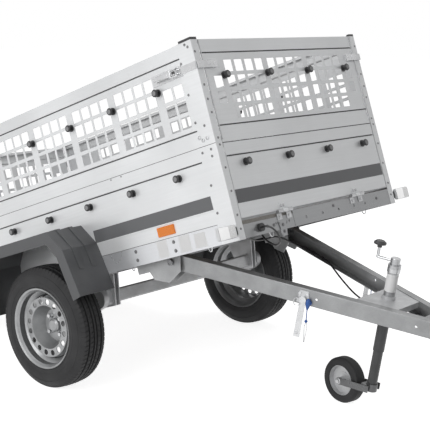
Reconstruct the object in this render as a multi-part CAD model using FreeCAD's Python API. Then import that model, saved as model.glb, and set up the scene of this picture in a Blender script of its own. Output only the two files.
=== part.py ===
"""Single-axle tipping box trailer, shown with its box tipped on a V drawbar.

Lengths are in millimetres and angles in degrees.
Box frame: X forward from the box front face, Y to the left, Z up from the underside of the rails.
Drawbar frame: X forward along the drawbar from the tipping pin, Y to the left, Z square to the beams.
"""
import FreeCAD
import Part
import math
import os

Vector = FreeCAD.Vector
Placement = FreeCAD.Placement
Rotation = FreeCAD.Rotation
X_AXIS = Vector(1, 0, 0)
Y_AXIS = Vector(0, 1, 0)
Z_AXIS = Vector(0, 0, 1)
ORIGIN = Vector(0, 0, 0)
full_turn = 360.0
angle_tolerance = 1e-6

# Stance
box_tilt = 19.56
drawbar_drop = 8.89
drawbar_half_angle = 18.06

# Box
knob_pitch = 277.0
knob_end_offset = 236.0
knob_count = 7
box_width = 1145.0
box_length = 2 * knob_end_offset + (knob_count - 1) * knob_pitch
post_wall = 2.5
running_gap = 5.0
cut_overrun = 2.0

# Frame rails and floor
rail_height = 80.0
rail_flange = 35.0
rail_wall = 2.5
member_height = 58.0
member_depth = 40.0
cross_hat_height = 34.0
cross_hat_width = 44.0
cross_hat_rim = 14.0
cross_hat_setbacks = [300.0, 650.0, 1230.0, 1600.0]
floor_thickness = 15.0
floor_side_gap = 1.0
floor_end_gap = 2.5
cover_side = -206.0
cover_top = 71.5
member_hole_radius = 5.5
member_hole_share = 0.55
member_hole_places = [-330.0, -240.0, -120.0, 0.0, 120.0, 240.0, 330.0]
grommet_side = 432.0
grommet_height = 31.0
grommet_radius = 17.0
grommet_bore = 9.0
grommet_depth = 12.0

# Boards and mesh
board_bottom = 82.5
board_top = 391.0
board_depth = 25.0
sheet_wall = 1.5
lip_depth = 14.0
bead_height = 333.0
bead_depth = 3.0
bead_half_width = 4.0
mesh_bottom = board_top
mesh_top = 806.0
mesh_depth = 20.0
mesh_low_bead = 457.0
mesh_high_bead = 751.0
window_size = 48.5
window_rows = 4
window_columns = 4
window_row_pitch = 64.0
window_row_base = 503.0
side_column_pitch = 61.8
front_column_share = 0.234
front_knob_share = 0.2463
front_knob_count = 4
edge_column_share = 0.135
end_pair_setback = 158.0
post_side_flange = 95.0
post_front_flange = 37.0
mesh_post_flange = 80.0
cap_height = 10.0
cap_length = 66.0
cap_depth = 26.0

# Rope knobs
lower_knob_height = 300.0
upper_knob_height = 656.0
knob_disc_radius = 15.5
knob_neck_radius = 8.5
knob_base_thickness = 5.0
knob_neck_length = 14.0
knob_disc_thickness = 7.0
knob_round = 2.5

# Panel hinges
board_pin_height = 77.0
board_pin_proud = 9.0
board_pin_radius = 5.0
board_hinge_share = 0.2323
board_hinge_width = 96.0
board_leaf_height = 30.0
board_leaf_wall = 3.0
knuckle_wall = 3.5
knuckle_gap = 1.0
pin_clearance = 0.08
mesh_pin_inset = 8.0
mesh_pin_radius = 4.0
mesh_eye_radius = 7.5
mesh_eye_width = 12.0
mesh_panel_lift = 8.0

# Corner latches
latch_height = 704.0
latch_plate_height = 44.0
latch_plate_front = mesh_post_flange + cut_overrun
latch_plate_back = 250.0
latch_plate_wall = 3.0
lever_height = 26.0
lever_width = 20.0
lever_front = 100.0
lever_back = 215.0
strap_height = 30.0
strap_wall = 3.0
hook_length = 114.5
hook_standoff = 5.5
hook_foot_width = 26.0

# Axle and wheels
wheel_setback = 1087.0
wheel_drop = 164.0
wheel_outboard = 110.5
tyre_radius = 273.5
tyre_width = 157.0
tyre_wall = 11.0
shoulder_drop = 15.0
swell_shares = [(0.0, 0.0), (0.17, 0.6), (0.33, 0.89), (0.52, 1.0), (0.77, 0.8), (1.0, 0.2)]
lining_shares = [(0.0, 0.0), (0.3, 0.7), (0.6, 1.0), (1.0, 0.2)]
bead_radius = 168.0
bead_half = 58.0
rim_wall = 3.5
rim_flange_radius = 182.0
rim_half_width = 71.0
rim_well_radius = 148.0
dish_hole_circle = 116.0
dish_hole_radius = 12.5
dish_ring_half = 18.0
dish_hole_count = 16
dish_rise = 42.0
hub_radius = 36.0
hub_face = -18.0
hub_cap_radius = 31.0
hub_cap_length = 26.0
hub_cap_round = 8.0
hub_inner_face = 46.0
stub_radius = 15.0
stub_clearance = 0.05
stub_end_gap = 8.0
axle_setback = 903.0
axle_drop = 101.0
axle_half = 30.0
axle_round = 8.0
axle_wall = 5.0
axle_inset = 46.5
axle_sleeve_half = 34.0
axle_sleeve_length = 24.0
arm_thickness = 30.0
arm_axle_boss = 42.0
arm_wheel_boss = 30.0
arm_boss_gap = 3.0
axle_bracket_gap = 26.0
axle_bracket_wall = 6.0
axle_bracket_top_half = 78.0
axle_bracket_bottom_half = 44.0
axle_bracket_below = 14.0

# Mudguards
guard_lip_height = -66.0
guard_lip_reach = 324.0
guard_knee_height = 142.0
guard_knee_reach = 280.0
guard_top_height = 236.0
guard_top_reach = 206.0
guard_wall = 3.0
guard_width = 200.0
guard_skirt = 52.0
guard_rib_height = 4.0
guard_rib_width = 22.0
guard_rib_shares = [0.32, 0.68]
guard_rib_end_share = 0.45

# Lamps and reflectors
lamp_outboard = 67.5
lamp_half_width = 51.0
lamp_half_height = 26.0
lamp_height = 39.0
lamp_front = 8.0
lamp_depth = 16.0
lamp_round = 6.0
lamp_stub_half_height = 16.0
lamp_stub_depth = 10.0
rear_lamp_inset = 134.5
rear_lamp_half_width = 86.0
rear_lamp_height = 22.0
rear_lamp_half_height = 36.0
rear_lamp_depth = 42.0
reflector_setback = 376.0
reflector_length = 98.0
reflector_bottom = 92.0
reflector_height = 40.0
reflector_thickness = 6.0

# Tipping pivot
pivot_setback = 515.0
pivot_height = -18.0
pivot_pin_radius = 8.0
pivot_boss_radius = 15.0
pivot_head_radius = 13.0
pivot_head_thickness = 8.0
bracket_gap = 66.0
bracket_wall = 5.0
bracket_front = 36.0
bracket_front_top = 23.0
bracket_shin = 19.0
bracket_shin_low = -47.0
bracket_heel = 45.0
bracket_heel_low = -84.0
bracket_knee = 85.0
bracket_tail = 111.0
bracket_tail_low = -56.0
bracket_hip = 125.0
bracket_end = 180.0
bracket_end_low = -20.0

# Drawbar
beam_height = 70.0
beam_flange = 40.0
beam_wall = 3.0
beam_round = 5.0
apex_reach = 1303.0
beam_tail = 45.0
beam_nose = 1180.0
beam_hole_radius = 5.0
beam_hole_places = [612.0, 1008.0]
plate_behind_tube = 70.0
plate_ahead_of_tube = 96.0
plate_wall = 4.0
plate_skirt = 26.0
gusset_gap = 102.0
gusset_front = 1176.0
gusset_wall = 4.0

# Coupling head
socket_reach = 1330.0
socket_radius = 25.4
socket_wall = 6.0
head_length = 255.0
head_half_width = 29.0
head_height = 52.0
head_wall = 4.0
lever_pivot_setback = 68.0
lever_length = 190.0
lever_thickness = 16.0
coupling_bolt_radius = 6.0
coupling_bolt_inset = 20.0
coupling_bolt_pitch = 60.0

# Bed latches on the drawbar
bed_latch_reach = 560.0
bed_latch_half = 28.0
bed_latch_wall = 3.0
bed_latch_inset = 9.0
bed_latch_depth = 62.0
handle_length = 165.0
handle_width = 26.0
handle_wall = 5.0
handle_lean = 1.0
handle_eye = 15.0
clip_radius = 11.0
clip_thickness = 6.0
clip_ahead = 27.0
clip_drop = 54.0
catch_offset = 24.0
catch_half_width = 26.0
catch_bottom = -24.0
catch_wall = 4.0

# Jockey wheel
jockey_reach = 812.0
jockey_outer_radius = 24.0
jockey_outer_wall = 2.5
jockey_head_top = 130.0
jockey_outer_bottom = -238.0
jockey_inner_radius = 21.0
jockey_inner_wall = 2.5
jockey_inner_top = -110.0
jockey_fit = 0.5
jockey_cap_radius = 27.0
jockey_cap_height = 16.0
jockey_boss_radius = 20.0
jockey_boss_height = 26.0
crank_rod_radius = 6.0
crank_reach = 76.0
crank_post = 42.0
crank_knob_radius = 26.0
crank_knob_height = 28.0
crank_knob_neck = 10.0
crank_turn = 196.0
clamp_height = 46.0
clamp_wall = 6.0
clamp_handle_length = 62.0
clamp_handle_radius = 7.0
collar_height = 14.0
collar_wall = 5.0
fork_trail = 150.0
fork_drop = 33.0
fork_yaw = -9.0
fork_gap = 72.0
fork_wall = 4.0
fork_root_height = 30.0
fork_tip_radius = 15.0
fork_collar_height = 34.0
fork_collar_radius = 25.0
fork_pin_radius = 7.0
jockey_tyre_radius = 100.0
jockey_tyre_width = 58.0
jockey_rim_radius = 66.0
jockey_rim_width = 48.0
jockey_rim_wall = 3.0
jockey_hub_radius = 15.0
jockey_hub_width = 60.0
jockey_tyre_round = 12.0

# Cable and its plug
cable_radius = 4.0
cable_bend_share = 0.45
clip_wall = 3.0
clip_length = 7.0
box_cable_route = [
    (-5.0, -432.0, 31.0), (42.0, -432.0, 31.0), (66.0, -416.0, -6.0), (44.0, -388.0, -44.0),
    (-8.0, -356.0, -56.0), (-62.0, -342.0, -26.0), (-102.0, -318.0, 13.0), (-160.0, -250.0, 15.0),
    (-253.0, -158.0, 13.0), (-347.0, -88.0, 13.0), (-424.0, -26.0, 12.0), (-484.0, 48.0, 4.0),
    (-515.0, 150.0, -18.0), (-515.0, 250.0, -18.0)]
box_clip_setbacks = [300.0]
bar_cable_route = [
    (0.0, 250.0, 0.0), (0.0, 292.0, 0.0), (26.0, 332.0, -12.0), (84.0, 352.0, -25.0),
    (150.0, 348.0, -25.0), (232.0, 321.0, -25.0), (306.0, 297.0, -25.0), (368.0, 246.0, -25.0),
    (440.0, 212.0, -46.0), (540.0, 168.0, -70.0), (640.0, 108.0, -66.0), (744.0, 68.0, -44.0),
    (848.0, 58.0, -34.0), (934.0, 42.0, -44.0), (1004.0, 16.0, -66.0), (1066.0, 0.0, -72.0),
    (1126.0, 0.0, -72.0)]
bar_clip_reaches = [191.0, 269.0]
plug_start = 1124.0
plug_grip_radius = 15.0
plug_grip_length = 26.0
plug_radius = 23.0
plug_length = 78.0
plug_height = -72.0
holder_start = 1172.0
holder_length = 34.0
holder_wall = 3.0
holder_web = 12.0
holder_gap = 0.3


def block(x_span, y_span, z_span):
    """Block between the low and high value along each axis."""
    corner = Vector(x_span[0], y_span[0], z_span[0])
    return Part.makeBox(x_span[1] - x_span[0], y_span[1] - y_span[0], z_span[1] - z_span[0], corner)


def slab(outline, place, span):
    """Solid from a flat outline; place turns an outline point and a depth into a point in space."""
    low = [place(a, b, span[0]) for a, b in outline]
    face = Part.Face(Part.makePolygon(low + low[:1]))
    return face.extrude(place(0, 0, span[1]) - place(0, 0, span[0]))


def along_x(y, z, x):
    """Places an outline in Y and Z at the depth X."""
    return Vector(x, y, z)


def along_y(x, z, y):
    """Places an outline in X and Z at the depth Y."""
    return Vector(x, y, z)


def along_z(x, y, z):
    """Places an outline in X and Y at the depth Z."""
    return Vector(x, y, z)


def ribbon(path, wall):
    """Closed outline of a folded sheet: the path is one face and the other lies a wall to its left."""
    other = []
    last = len(path) - 1
    for i, point in enumerate(path):
        sides = [s for s in (i - 1, i) if 0 <= s < last]
        normals = []
        for s in sides:
            run = (path[s + 1][0] - path[s][0], path[s + 1][1] - path[s][1])
            length = math.hypot(run[0], run[1])
            normals.append((-run[1] / length, run[0] / length))
        mean = [sum(n[k] for n in normals) / len(normals) for k in (0, 1)]
        reach = wall / (mean[0] ** 2 + mean[1] ** 2)
        other.append((point[0] + mean[0] * reach, point[1] + mean[1] * reach))
    return list(path) + other[::-1]


def cylinder(base, axis, radius, length):
    """Round bar from a base point along an axis."""
    return Part.makeCylinder(radius, length, base, axis)


def across(x, z, y_span, radius):
    """Round bar along Y between two side positions."""
    return cylinder(Vector(x, y_span[0], z), Y_AXIS, radius, y_span[1] - y_span[0])


def turned(profile, axis_point, axis, place):
    """Solid of revolution of a closed profile of (radius, depth) points."""
    points = [place(r, d) for r, d in profile]
    return Part.Face(Part.makePolygon(points + points[:1])).revolve(axis_point, axis, full_turn)


def wheel_turned(profile):
    """Solid of revolution about Y of a closed profile of (radius, side) points."""
    return turned(profile, ORIGIN, Y_AXIS, lambda r, s: Vector(r, s, 0))


def fused(shapes):
    """One solid from several that meet."""
    first, rest = shapes[0], shapes[1:]
    return first.multiFuse(rest).removeSplitter() if rest else first


def mirrored(shape):
    """The same piece on the other side of the trailer."""
    return shape.mirror(ORIGIN, Y_AXIS)


def both_sides(shapes):
    """Pieces of the left side with their mirror images."""
    return shapes + [mirrored(s) for s in shapes]


def end_for_end(shape):
    """The same piece at the other end of the box."""
    return shape.mirror(Vector(-box_length / 2, 0, 0), X_AXIS)


def both_ends(shapes):
    """Pieces of the box front with their mirror images at the rear."""
    return shapes + [end_for_end(s) for s in shapes]


def rounded(shape, radius, keep):
    """The shape with the edges that keep picks rounded."""
    return shape.makeFillet(radius, [e for e in shape.Edges if keep(e)])


def lies_along(edge, axis):
    """True for a straight edge along an axis."""
    if not isinstance(edge.Curve, Part.Line):
        return False
    return abs(abs(edge.tangentAt(edge.FirstParameter).dot(axis)) - 1) < angle_tolerance


side_plane = box_width / 2
skin_plane = side_plane - post_wall
rail_inner = skin_plane - rail_wall
panel_half_width = side_plane - post_front_flange - running_gap
floor_top = member_height + floor_thickness
wheel_side = side_plane + wheel_outboard
guard_outer = skin_plane + guard_width
axle_half_length = side_plane - axle_inset
lamp_side = side_plane + lamp_outboard
rear_lamp_side = side_plane - rear_lamp_inset
hook_reach = side_plane - hook_length
plate_back = jockey_reach - plate_behind_tube
plate_front = jockey_reach + plate_ahead_of_tube
gusset_back = plate_front + gusset_gap
head_back = socket_reach - head_length
coupling_bolt_back = head_back + coupling_bolt_inset
lever_pivot_reach = socket_reach - lever_pivot_setback
board_hinge_side = box_width * board_hinge_share
catch_side = board_hinge_side + catch_offset
front_knob_pitch = box_width * front_knob_share
front_column_pitch = front_knob_pitch * front_column_share
edge_column_offset = front_knob_pitch * edge_column_share
knob_setbacks = [knob_end_offset + i * knob_pitch for i in range(knob_count)]
front_knob_sides = [(i - (front_knob_count - 1) / 2) * front_knob_pitch for i in range(front_knob_count)]


def build_side_rails():
    """Two folded rails that carry the side boards."""
    path = [(rail_inner + rail_wall - rail_flange, 0), (skin_plane, 0), (skin_plane, rail_height),
            (skin_plane - rail_flange, rail_height)]
    rail = slab(ribbon(path, rail_wall), along_x, (post_wall - box_length, -post_wall))
    return both_sides([rail])


def build_end_members():
    """Channel across each end; the front one has the cable's opening and a cover for the floor's edge."""
    path = [(-member_depth, rail_wall), (-post_wall, rail_wall), (-post_wall, member_height),
            (-member_depth, member_height)]
    channel = slab(ribbon(path, rail_wall), along_y, (-rail_inner, rail_inner))
    hole_height = member_height * member_hole_share
    holes = [cylinder(Vector(-post_wall - rail_wall - cut_overrun, y, hole_height), X_AXIS,
                      member_hole_radius, rail_wall + 2 * cut_overrun) for y in member_hole_places]
    channel = channel.cut(holes)
    rear = end_for_end(channel)
    cover = block((-post_wall - rail_wall, -post_wall), (cover_side, rail_inner),
                  (member_height - rail_wall, cover_top))
    opening = cylinder(Vector(-post_wall - rail_wall - cut_overrun, -grommet_side, grommet_height), X_AXIS,
                       grommet_bore, rail_wall + 2 * cut_overrun)
    tab_top = member_height - board_leaf_height / 2 - catch_wall
    tab = slab([(-catch_side - catch_half_width, tab_top), (-catch_side - catch_half_width / 2, catch_bottom),
                (-catch_side + catch_half_width / 2, catch_bottom), (-catch_side + catch_half_width, tab_top)],
               along_x, (-post_wall, -post_wall + catch_wall))
    return [fused([channel.cut(opening), cover, tab]), rear]


def build_cross_hats():
    """Hat-section members under the floor."""
    low = member_height - cross_hat_height
    half = cross_hat_width / 2
    rim = member_height - rail_wall
    path = [(-half - cross_hat_rim, rim), (-half, rim), (-half, low), (half, low), (half, rim),
            (half + cross_hat_rim, rim)]
    hats = []
    for setback in cross_hat_setbacks:
        outline = [(x - setback, z) for x, z in ribbon(path, rail_wall)]
        hats.append(slab(outline, along_y, (-rail_inner, rail_inner)))
    return hats


def build_floor():
    """Plywood floor between the rails."""
    ends = post_wall + floor_end_gap
    half = rail_inner - floor_side_gap
    return [block((ends - box_length, -ends), (-half, half), (member_height, floor_top))]


def angle_post(side_flange, bottom, top):
    """Corner post folded from one strip, at the front left corner."""
    path = [(0, side_plane - post_front_flange), (0, side_plane), (-side_flange, side_plane)]
    return slab(ribbon(path, post_wall), along_z, (bottom, top))


def corner_set(shape):
    """A front left piece repeated at all four corners."""
    return both_ends(both_sides([shape]))


def folded_panel(bottom, top, depth, beads):
    """Section of a panel: outer skin with beads, flanges turned inward and lips."""
    path = [(-depth, bottom + lip_depth), (-depth, bottom), (0, bottom)]
    for height in beads:
        path += [(0, height - bead_half_width), (-bead_depth, height), (0, height + bead_half_width)]
    return path + [(0, top), (-depth, top), (-depth, top - lip_depth)]


def side_panel(bottom, top, depth, beads):
    """Side board or side mesh on the left, as long as the box."""
    path = [(skin_plane + d, z) for d, z in folded_panel(bottom, top, depth, beads)]
    return slab(ribbon(path, sheet_wall), along_x, (post_wall - box_length, -post_wall))


def end_panel(bottom, top, depth, beads):
    """Front board or front mesh between the corner posts, set back behind the post face."""
    path = [(d - sheet_wall, z) for d, z in folded_panel(bottom, top, depth, beads)]
    return slab(ribbon(path, sheet_wall), along_y, (-panel_half_width, panel_half_width))


def window_heights():
    """Centre heights of the mesh rows, lowest first."""
    return [window_row_base + i * window_row_pitch for i in range(window_rows)]


def column_group(centre, pitch):
    """Centres of one group of mesh columns."""
    return [centre + (i - (window_columns - 1) / 2) * pitch for i in range(window_columns)]


def side_windows():
    """Cutters for the windows of the left side mesh."""
    half = window_size / 2
    depth = (skin_plane - sheet_wall - bead_depth - cut_overrun, skin_plane + cut_overrun)
    rows = window_heights()
    cutters = []
    for setback in knob_setbacks[:-1]:
        for x in column_group(-setback - knob_pitch / 2, side_column_pitch):
            cutters += [block((x - half, x + half), depth, (z - half, z + half)) for z in rows]
    for centre in (-end_pair_setback, end_pair_setback - box_length):
        for x in (centre - side_column_pitch / 2, centre + side_column_pitch / 2):
            cutters += [block((x - half, x + half), depth, (z - half, z + half)) for z in rows[:-1]]
    return cutters


def front_windows():
    """Cutters for the windows of the front mesh."""
    half = window_size / 2
    depth = (-2 * sheet_wall - bead_depth - cut_overrun, cut_overrun)
    rows = window_heights()
    cutters = []
    for side in front_knob_sides[:-1]:
        for y in column_group(side + front_knob_pitch / 2, front_column_pitch):
            cutters += [block(depth, (y - half, y + half), (z - half, z + half)) for z in rows]
    for side in (front_knob_sides[0] - edge_column_offset, front_knob_sides[-1] + edge_column_offset):
        cutters += [block(depth, (side - half, side + half), (z - half, z + half)) for z in rows[1:-1]]
    return cutters


def mesh_eyes(base):
    """Hinge eyes at the lower corners of the front mesh, cut for their pins."""
    height = base + mesh_pin_inset
    spans = [(panel_half_width - mesh_eye_width, panel_half_width),
             (-panel_half_width, mesh_eye_width - panel_half_width)]
    return [across(-mesh_pin_inset - sheet_wall, height, span, mesh_eye_radius) for span in spans]


def build_side_boards():
    """Lower boards, one sheet each."""
    return both_sides([side_panel(rail_height, board_top, board_depth, [bead_height])])


def build_side_mesh():
    """Upper mesh sides with their windows."""
    panel = side_panel(mesh_bottom, mesh_top, mesh_depth, [mesh_low_bead, mesh_high_bead])
    return both_sides([panel.cut(side_windows()).cut(mesh_pin_shapes())])


def hinge_knuckle(side, leaf_high, leaf_low):
    """Knuckle around the board pin with its leaf up the board or down the member."""
    centre_x = board_pin_proud
    outer = board_pin_radius + knuckle_wall
    half = board_hinge_width / 2
    third = board_hinge_width / 6
    spans = [(-third + knuckle_gap, third - knuckle_gap)] if leaf_high else [(-half, -third), (third, half)]
    parts = []
    for low, high in spans:
        span = (side + low, side + high)
        parts.append(across(centre_x, board_pin_height, span, outer))
        face = -sheet_wall if leaf_high else -post_wall
        top, bottom = (leaf_high, board_pin_height) if leaf_high else (board_pin_height, leaf_low)
        parts.append(block((face, face + board_leaf_wall), span, (bottom, top)))
        web = (board_pin_height, board_pin_height + outer) if leaf_high else (board_pin_height - outer,
                                                                              board_pin_height)
        parts.append(block((face, centre_x), span, web))
    knuckle = fused(parts)
    reach = half + cut_overrun
    return knuckle.cut(across(centre_x, board_pin_height, (side - reach, side + reach),
                              board_pin_radius + pin_clearance))


def build_board_hinges():
    """Fixed hinge halves with their pins, at both ends of the box."""
    pieces = []
    for side in (-board_hinge_side, board_hinge_side):
        fixed = hinge_knuckle(side, 0, member_height - board_leaf_height / 2)
        half = board_hinge_width / 2
        pieces.append(fixed)
        pieces.append(across(board_pin_proud, board_pin_height, (side - half, side + half), board_pin_radius))
    return both_ends(pieces)


def build_front_board():
    """Board that drops forward, with its hinge halves."""
    panel = end_panel(board_bottom, board_top - running_gap, board_depth, [bead_height])
    eyes = [hinge_knuckle(side, board_bottom + board_leaf_height, 0)
            for side in (-board_hinge_side, board_hinge_side)]
    relief = [across(board_pin_proud, board_pin_height, (side - board_hinge_width, side + board_hinge_width),
                     board_pin_radius + pin_clearance) for side in (-board_hinge_side, board_hinge_side)]
    return fused([panel] + eyes).cut(relief)


def build_front_mesh():
    """Mesh panel hinged at its foot, with the latch hooks' seats."""
    base = mesh_bottom + mesh_panel_lift
    panel = end_panel(base, mesh_top, mesh_depth, [mesh_low_bead, mesh_high_bead])
    panel = fused([panel] + mesh_eyes(base))
    pins = [across(-mesh_pin_inset - sheet_wall, base + mesh_pin_inset,
                   (-side_plane, side_plane), mesh_pin_radius + pin_clearance)]
    return panel.cut(front_windows()).cut(pins)


def build_latch_hooks():
    """Hook straps of the corner latches, fixed to the front mesh and passing before the posts."""
    low, high = latch_height - strap_height / 2, latch_height + strap_height / 2
    strap = block((hook_standoff, hook_standoff + strap_wall), (hook_reach, side_plane), (low, high))
    foot = block((-sheet_wall, hook_standoff), (hook_reach, hook_reach + hook_foot_width), (low, high))
    return both_sides([fused([strap, foot])])


def mesh_pin_shapes():
    """Pins in the mesh posts that the front mesh turns on."""
    height = mesh_bottom + mesh_panel_lift + mesh_pin_inset
    x = -mesh_pin_inset - sheet_wall
    pin = across(x, height, (panel_half_width - mesh_eye_width, side_plane - post_wall), mesh_pin_radius)
    return both_ends(both_sides([pin]))


def knob(base, outward):
    """Rope knob: a base disc, a neck and an outer disc."""
    heights = [0, knob_base_thickness, knob_base_thickness + knob_neck_length]
    top = heights[-1] + knob_disc_thickness
    profile = [(0, 0), (knob_disc_radius, 0), (knob_disc_radius, heights[1]), (knob_neck_radius, heights[1]),
               (knob_neck_radius, heights[2]), (knob_disc_radius, heights[2]),
               (knob_disc_radius, top - knob_round), (knob_disc_radius - knob_round, top), (0, top)]
    return turned(profile, base, outward, lambda r, d: base + Z_AXIS * r + outward * d)


def build_side_knobs():
    """Two rows of rope knobs down each side."""
    knobs = []
    for setback in knob_setbacks:
        for height in (lower_knob_height, upper_knob_height):
            knobs.append(knob(Vector(-setback, skin_plane, height), Y_AXIS))
    return both_sides(knobs)


def end_knobs(height):
    """One row of rope knobs across the front."""
    return [knob(Vector(-sheet_wall, side, height), X_AXIS) for side in front_knob_sides]


def build_corner_latches():
    """Over-centre latches on the side mesh: base plate, lever and the link to the corner."""
    half = latch_plate_height / 2
    face = skin_plane
    plate = block((-latch_plate_back, -latch_plate_front), (face, face + latch_plate_wall),
                  (latch_height - half, latch_height + half))
    lever_low, lever_high = latch_height - lever_height / 2, latch_height + lever_height / 2
    lever = block((-lever_back, -lever_front), (face, face + lever_width), (lever_low, lever_high))
    lever = rounded(lever, lever_height / 3,
                    lambda e: lies_along(e, X_AXIS) and e.CenterOfMass.y > face + cut_overrun)
    link_face = side_plane
    link = block((-latch_plate_front - 2 * cut_overrun - lever_front / 2, -running_gap / 2),
                 (link_face, link_face + strap_wall),
                 (latch_height - strap_height / 2, latch_height + strap_height / 2))
    piece = fused([plate, lever, link])
    return corner_set(piece)


def build_post_caps():
    """Plastic caps on the tops of the mesh posts."""
    run = [(0, side_plane - post_front_flange), (0, side_plane), (-cap_length, side_plane)]
    cap = slab(ribbon(run, cap_depth / 2), along_z, (mesh_top, mesh_top + cap_height))
    return corner_set(cap)


def axle_bar(half, span):
    """Square bar with rounded edges on the axle line."""
    bar = block((-axle_setback - half, -axle_setback + half), span, (-axle_drop - half, -axle_drop + half))
    return rounded(bar, axle_round, lambda e: lies_along(e, Y_AXIS))


def build_axle():
    """Square torsion axle tube with its end sleeves."""
    end = axle_half_length
    sleeves = [axle_bar(axle_sleeve_half, (end - axle_sleeve_length, end)),
               axle_bar(axle_sleeve_half, (-end, axle_sleeve_length - end))]
    bore = axle_bar(axle_half - axle_wall, (-end, end))
    return [fused([axle_bar(axle_half, (-end, end))] + sleeves).cut(bore)]


def build_axle_brackets():
    """Saddle brackets that hang the axle from the rails."""
    low = -axle_drop - axle_half - axle_bracket_below
    top_half, low_half = axle_bracket_top_half, axle_bracket_bottom_half
    outline = [(-axle_setback - top_half, 0), (-axle_setback + top_half, 0), (-axle_setback + low_half, low),
               (-axle_setback - low_half, low)]
    inner = axle_half_length - axle_sleeve_length - axle_bracket_gap
    cheeks = [slab(outline, along_y, (y, y + axle_bracket_wall))
              for y in (inner - axle_bracket_wall, inner + axle_bracket_gap - axle_bracket_wall)]
    roof = block((-axle_setback - top_half, -axle_setback + top_half),
                 (inner - axle_bracket_wall, skin_plane), (-axle_bracket_wall, 0))
    bracket = fused(cheeks + [roof])
    return both_sides([bracket.cut(axle_bar(axle_half, (0, box_width)))])


def build_trailing_arms():
    """Swing arms with the stub axles that carry the hubs."""
    start = axle_half_length
    end = start + arm_thickness
    run = Vector(axle_setback - wheel_setback, 0, axle_drop - wheel_drop)
    side = Vector(-run.z, 0, run.x).normalize()
    axle_point = Vector(-axle_setback, start, -axle_drop)
    wheel_point = axle_point + run
    corners = [axle_point + side * arm_axle_boss, wheel_point + side * arm_wheel_boss,
               wheel_point - side * arm_wheel_boss, axle_point - side * arm_axle_boss]
    bar = Part.Face(Part.makePolygon(corners + corners[:1])).extrude(Y_AXIS * arm_thickness)
    wheel_x, wheel_z = -wheel_setback, -wheel_drop
    hub_start = wheel_side - hub_inner_face
    stub_end = wheel_side + hub_face - stub_end_gap
    parts = [bar, across(-axle_setback, -axle_drop, (start, end), arm_axle_boss),
             across(wheel_x, wheel_z, (start, end), arm_wheel_boss),
             across(wheel_x, wheel_z, (start, hub_start - arm_boss_gap), arm_wheel_boss - arm_boss_gap),
             across(wheel_x, wheel_z, (start, stub_end), stub_radius)]
    return both_sides([fused(parts)])


def guard_path():
    """Outer line of the mudguard from the front lip over the top to the rear lip."""
    ahead = [(guard_lip_reach, guard_lip_height), (guard_knee_reach, guard_knee_height),
             (guard_top_reach, guard_top_height)]
    behind = [(-x, z) for x, z in ahead[::-1]]
    return [(x - wheel_setback, z) for x, z in ahead + behind]


def rib_path():
    """Outer line of the ribs, which end part of the way down to the lips."""
    path = guard_path()
    ends = []
    for knee, lip in ((path[1], path[0]), (path[-2], path[-1])):
        ends.append(tuple(a + (b - a) * guard_rib_end_share for a, b in zip(knee, lip)))
    return ends[:1] + path[1:-1] + ends[1:]


def build_mudguards():
    """Angular mudguards with an outer skirt and two ribs."""
    path = guard_path()
    width = guard_outer - skin_plane
    roof = slab(ribbon(path, guard_wall), along_y, (skin_plane, guard_outer))
    skirt = slab(ribbon(path, guard_skirt), along_y, (guard_outer - guard_wall, guard_outer))
    ribs = []
    for share in guard_rib_shares:
        y = skin_plane + width * share
        ribs.append(slab(ribbon(rib_path(), -guard_rib_height), along_y,
                         (y - guard_rib_width / 2, y + guard_rib_width / 2)))
    return both_sides([fused([roof, skirt] + ribs)])


def tyre_section(bead, crown, foot, swell, shares):
    """Closed outline of a tyre section, from one bead over the tread to the other."""
    shoulder = crown - shoulder_drop
    near = [(bead + (shoulder - bead) * up, foot + (swell - foot) * out) for up, out in shares]
    edge = near[-1][1]
    near += [(crown - shoulder_drop / 4, edge - shoulder_drop / 2),
             (crown - shoulder_drop / 16, edge / 2), (crown, edge / 4)]
    return near + [(radius, -side) for radius, side in near[::-1]]


def wheel_tyre():
    """Hollow tyre about its own centre, open towards the rim between its beads."""
    outer = wheel_turned(tyre_section(bead_radius, tyre_radius, bead_half, tyre_width / 2, swell_shares))
    lining = wheel_turned(tyre_section(bead_radius - cut_overrun, tyre_radius - tyre_wall,
                                       bead_half - tyre_wall, tyre_width / 2 - tyre_wall, lining_shares))
    return outer.cut(lining)


def wheel_rim():
    """Pressed rim with its ring of holes, hub and cap, outer side towards +Y."""
    flange_step = rim_flange_radius - bead_radius
    seat = bead_radius
    half = rim_half_width
    ahead = [(rim_flange_radius, half), (rim_flange_radius - flange_step / 2, half - rim_wall),
             (seat, bead_half), (seat, bead_half / 2), (rim_well_radius, bead_half / 4)]
    behind = [(r, -s) for r, s in ahead[::-1]]
    barrel = wheel_turned(ribbon(ahead + behind, -rim_wall))
    well = rim_well_radius - rim_wall
    ring_in = dish_hole_circle - dish_ring_half
    ring_out = dish_hole_circle + dish_ring_half
    dish = [(well + rim_wall / 2, 0), (ring_out, dish_rise), (ring_in, dish_rise),
            (hub_radius * 2, hub_face + rim_wall), (hub_radius - rim_wall, hub_face)]
    disc = wheel_turned(ribbon(dish, rim_wall))
    bore = stub_radius + stub_clearance
    hub = wheel_turned([(bore, -hub_inner_face), (hub_radius, -hub_inner_face), (hub_radius, hub_face),
                        (bore, hub_face)])
    cap_end = hub_face + hub_cap_length
    cap = wheel_turned([(0, hub_face), (hub_cap_radius, hub_face), (hub_cap_radius, cap_end - hub_cap_round),
                        (hub_cap_radius - hub_cap_round, cap_end), (0, cap_end)])
    holes = []
    for i in range(dish_hole_count):
        angle = math.radians(full_turn * i / dish_hole_count)
        base = Vector(math.cos(angle) * dish_hole_circle, 0, math.sin(angle) * dish_hole_circle)
        holes.append(cylinder(base, Y_AXIS, dish_hole_radius, dish_rise + rim_half_width))
    return fused([barrel, disc, hub, cap]).cut(holes)


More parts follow.
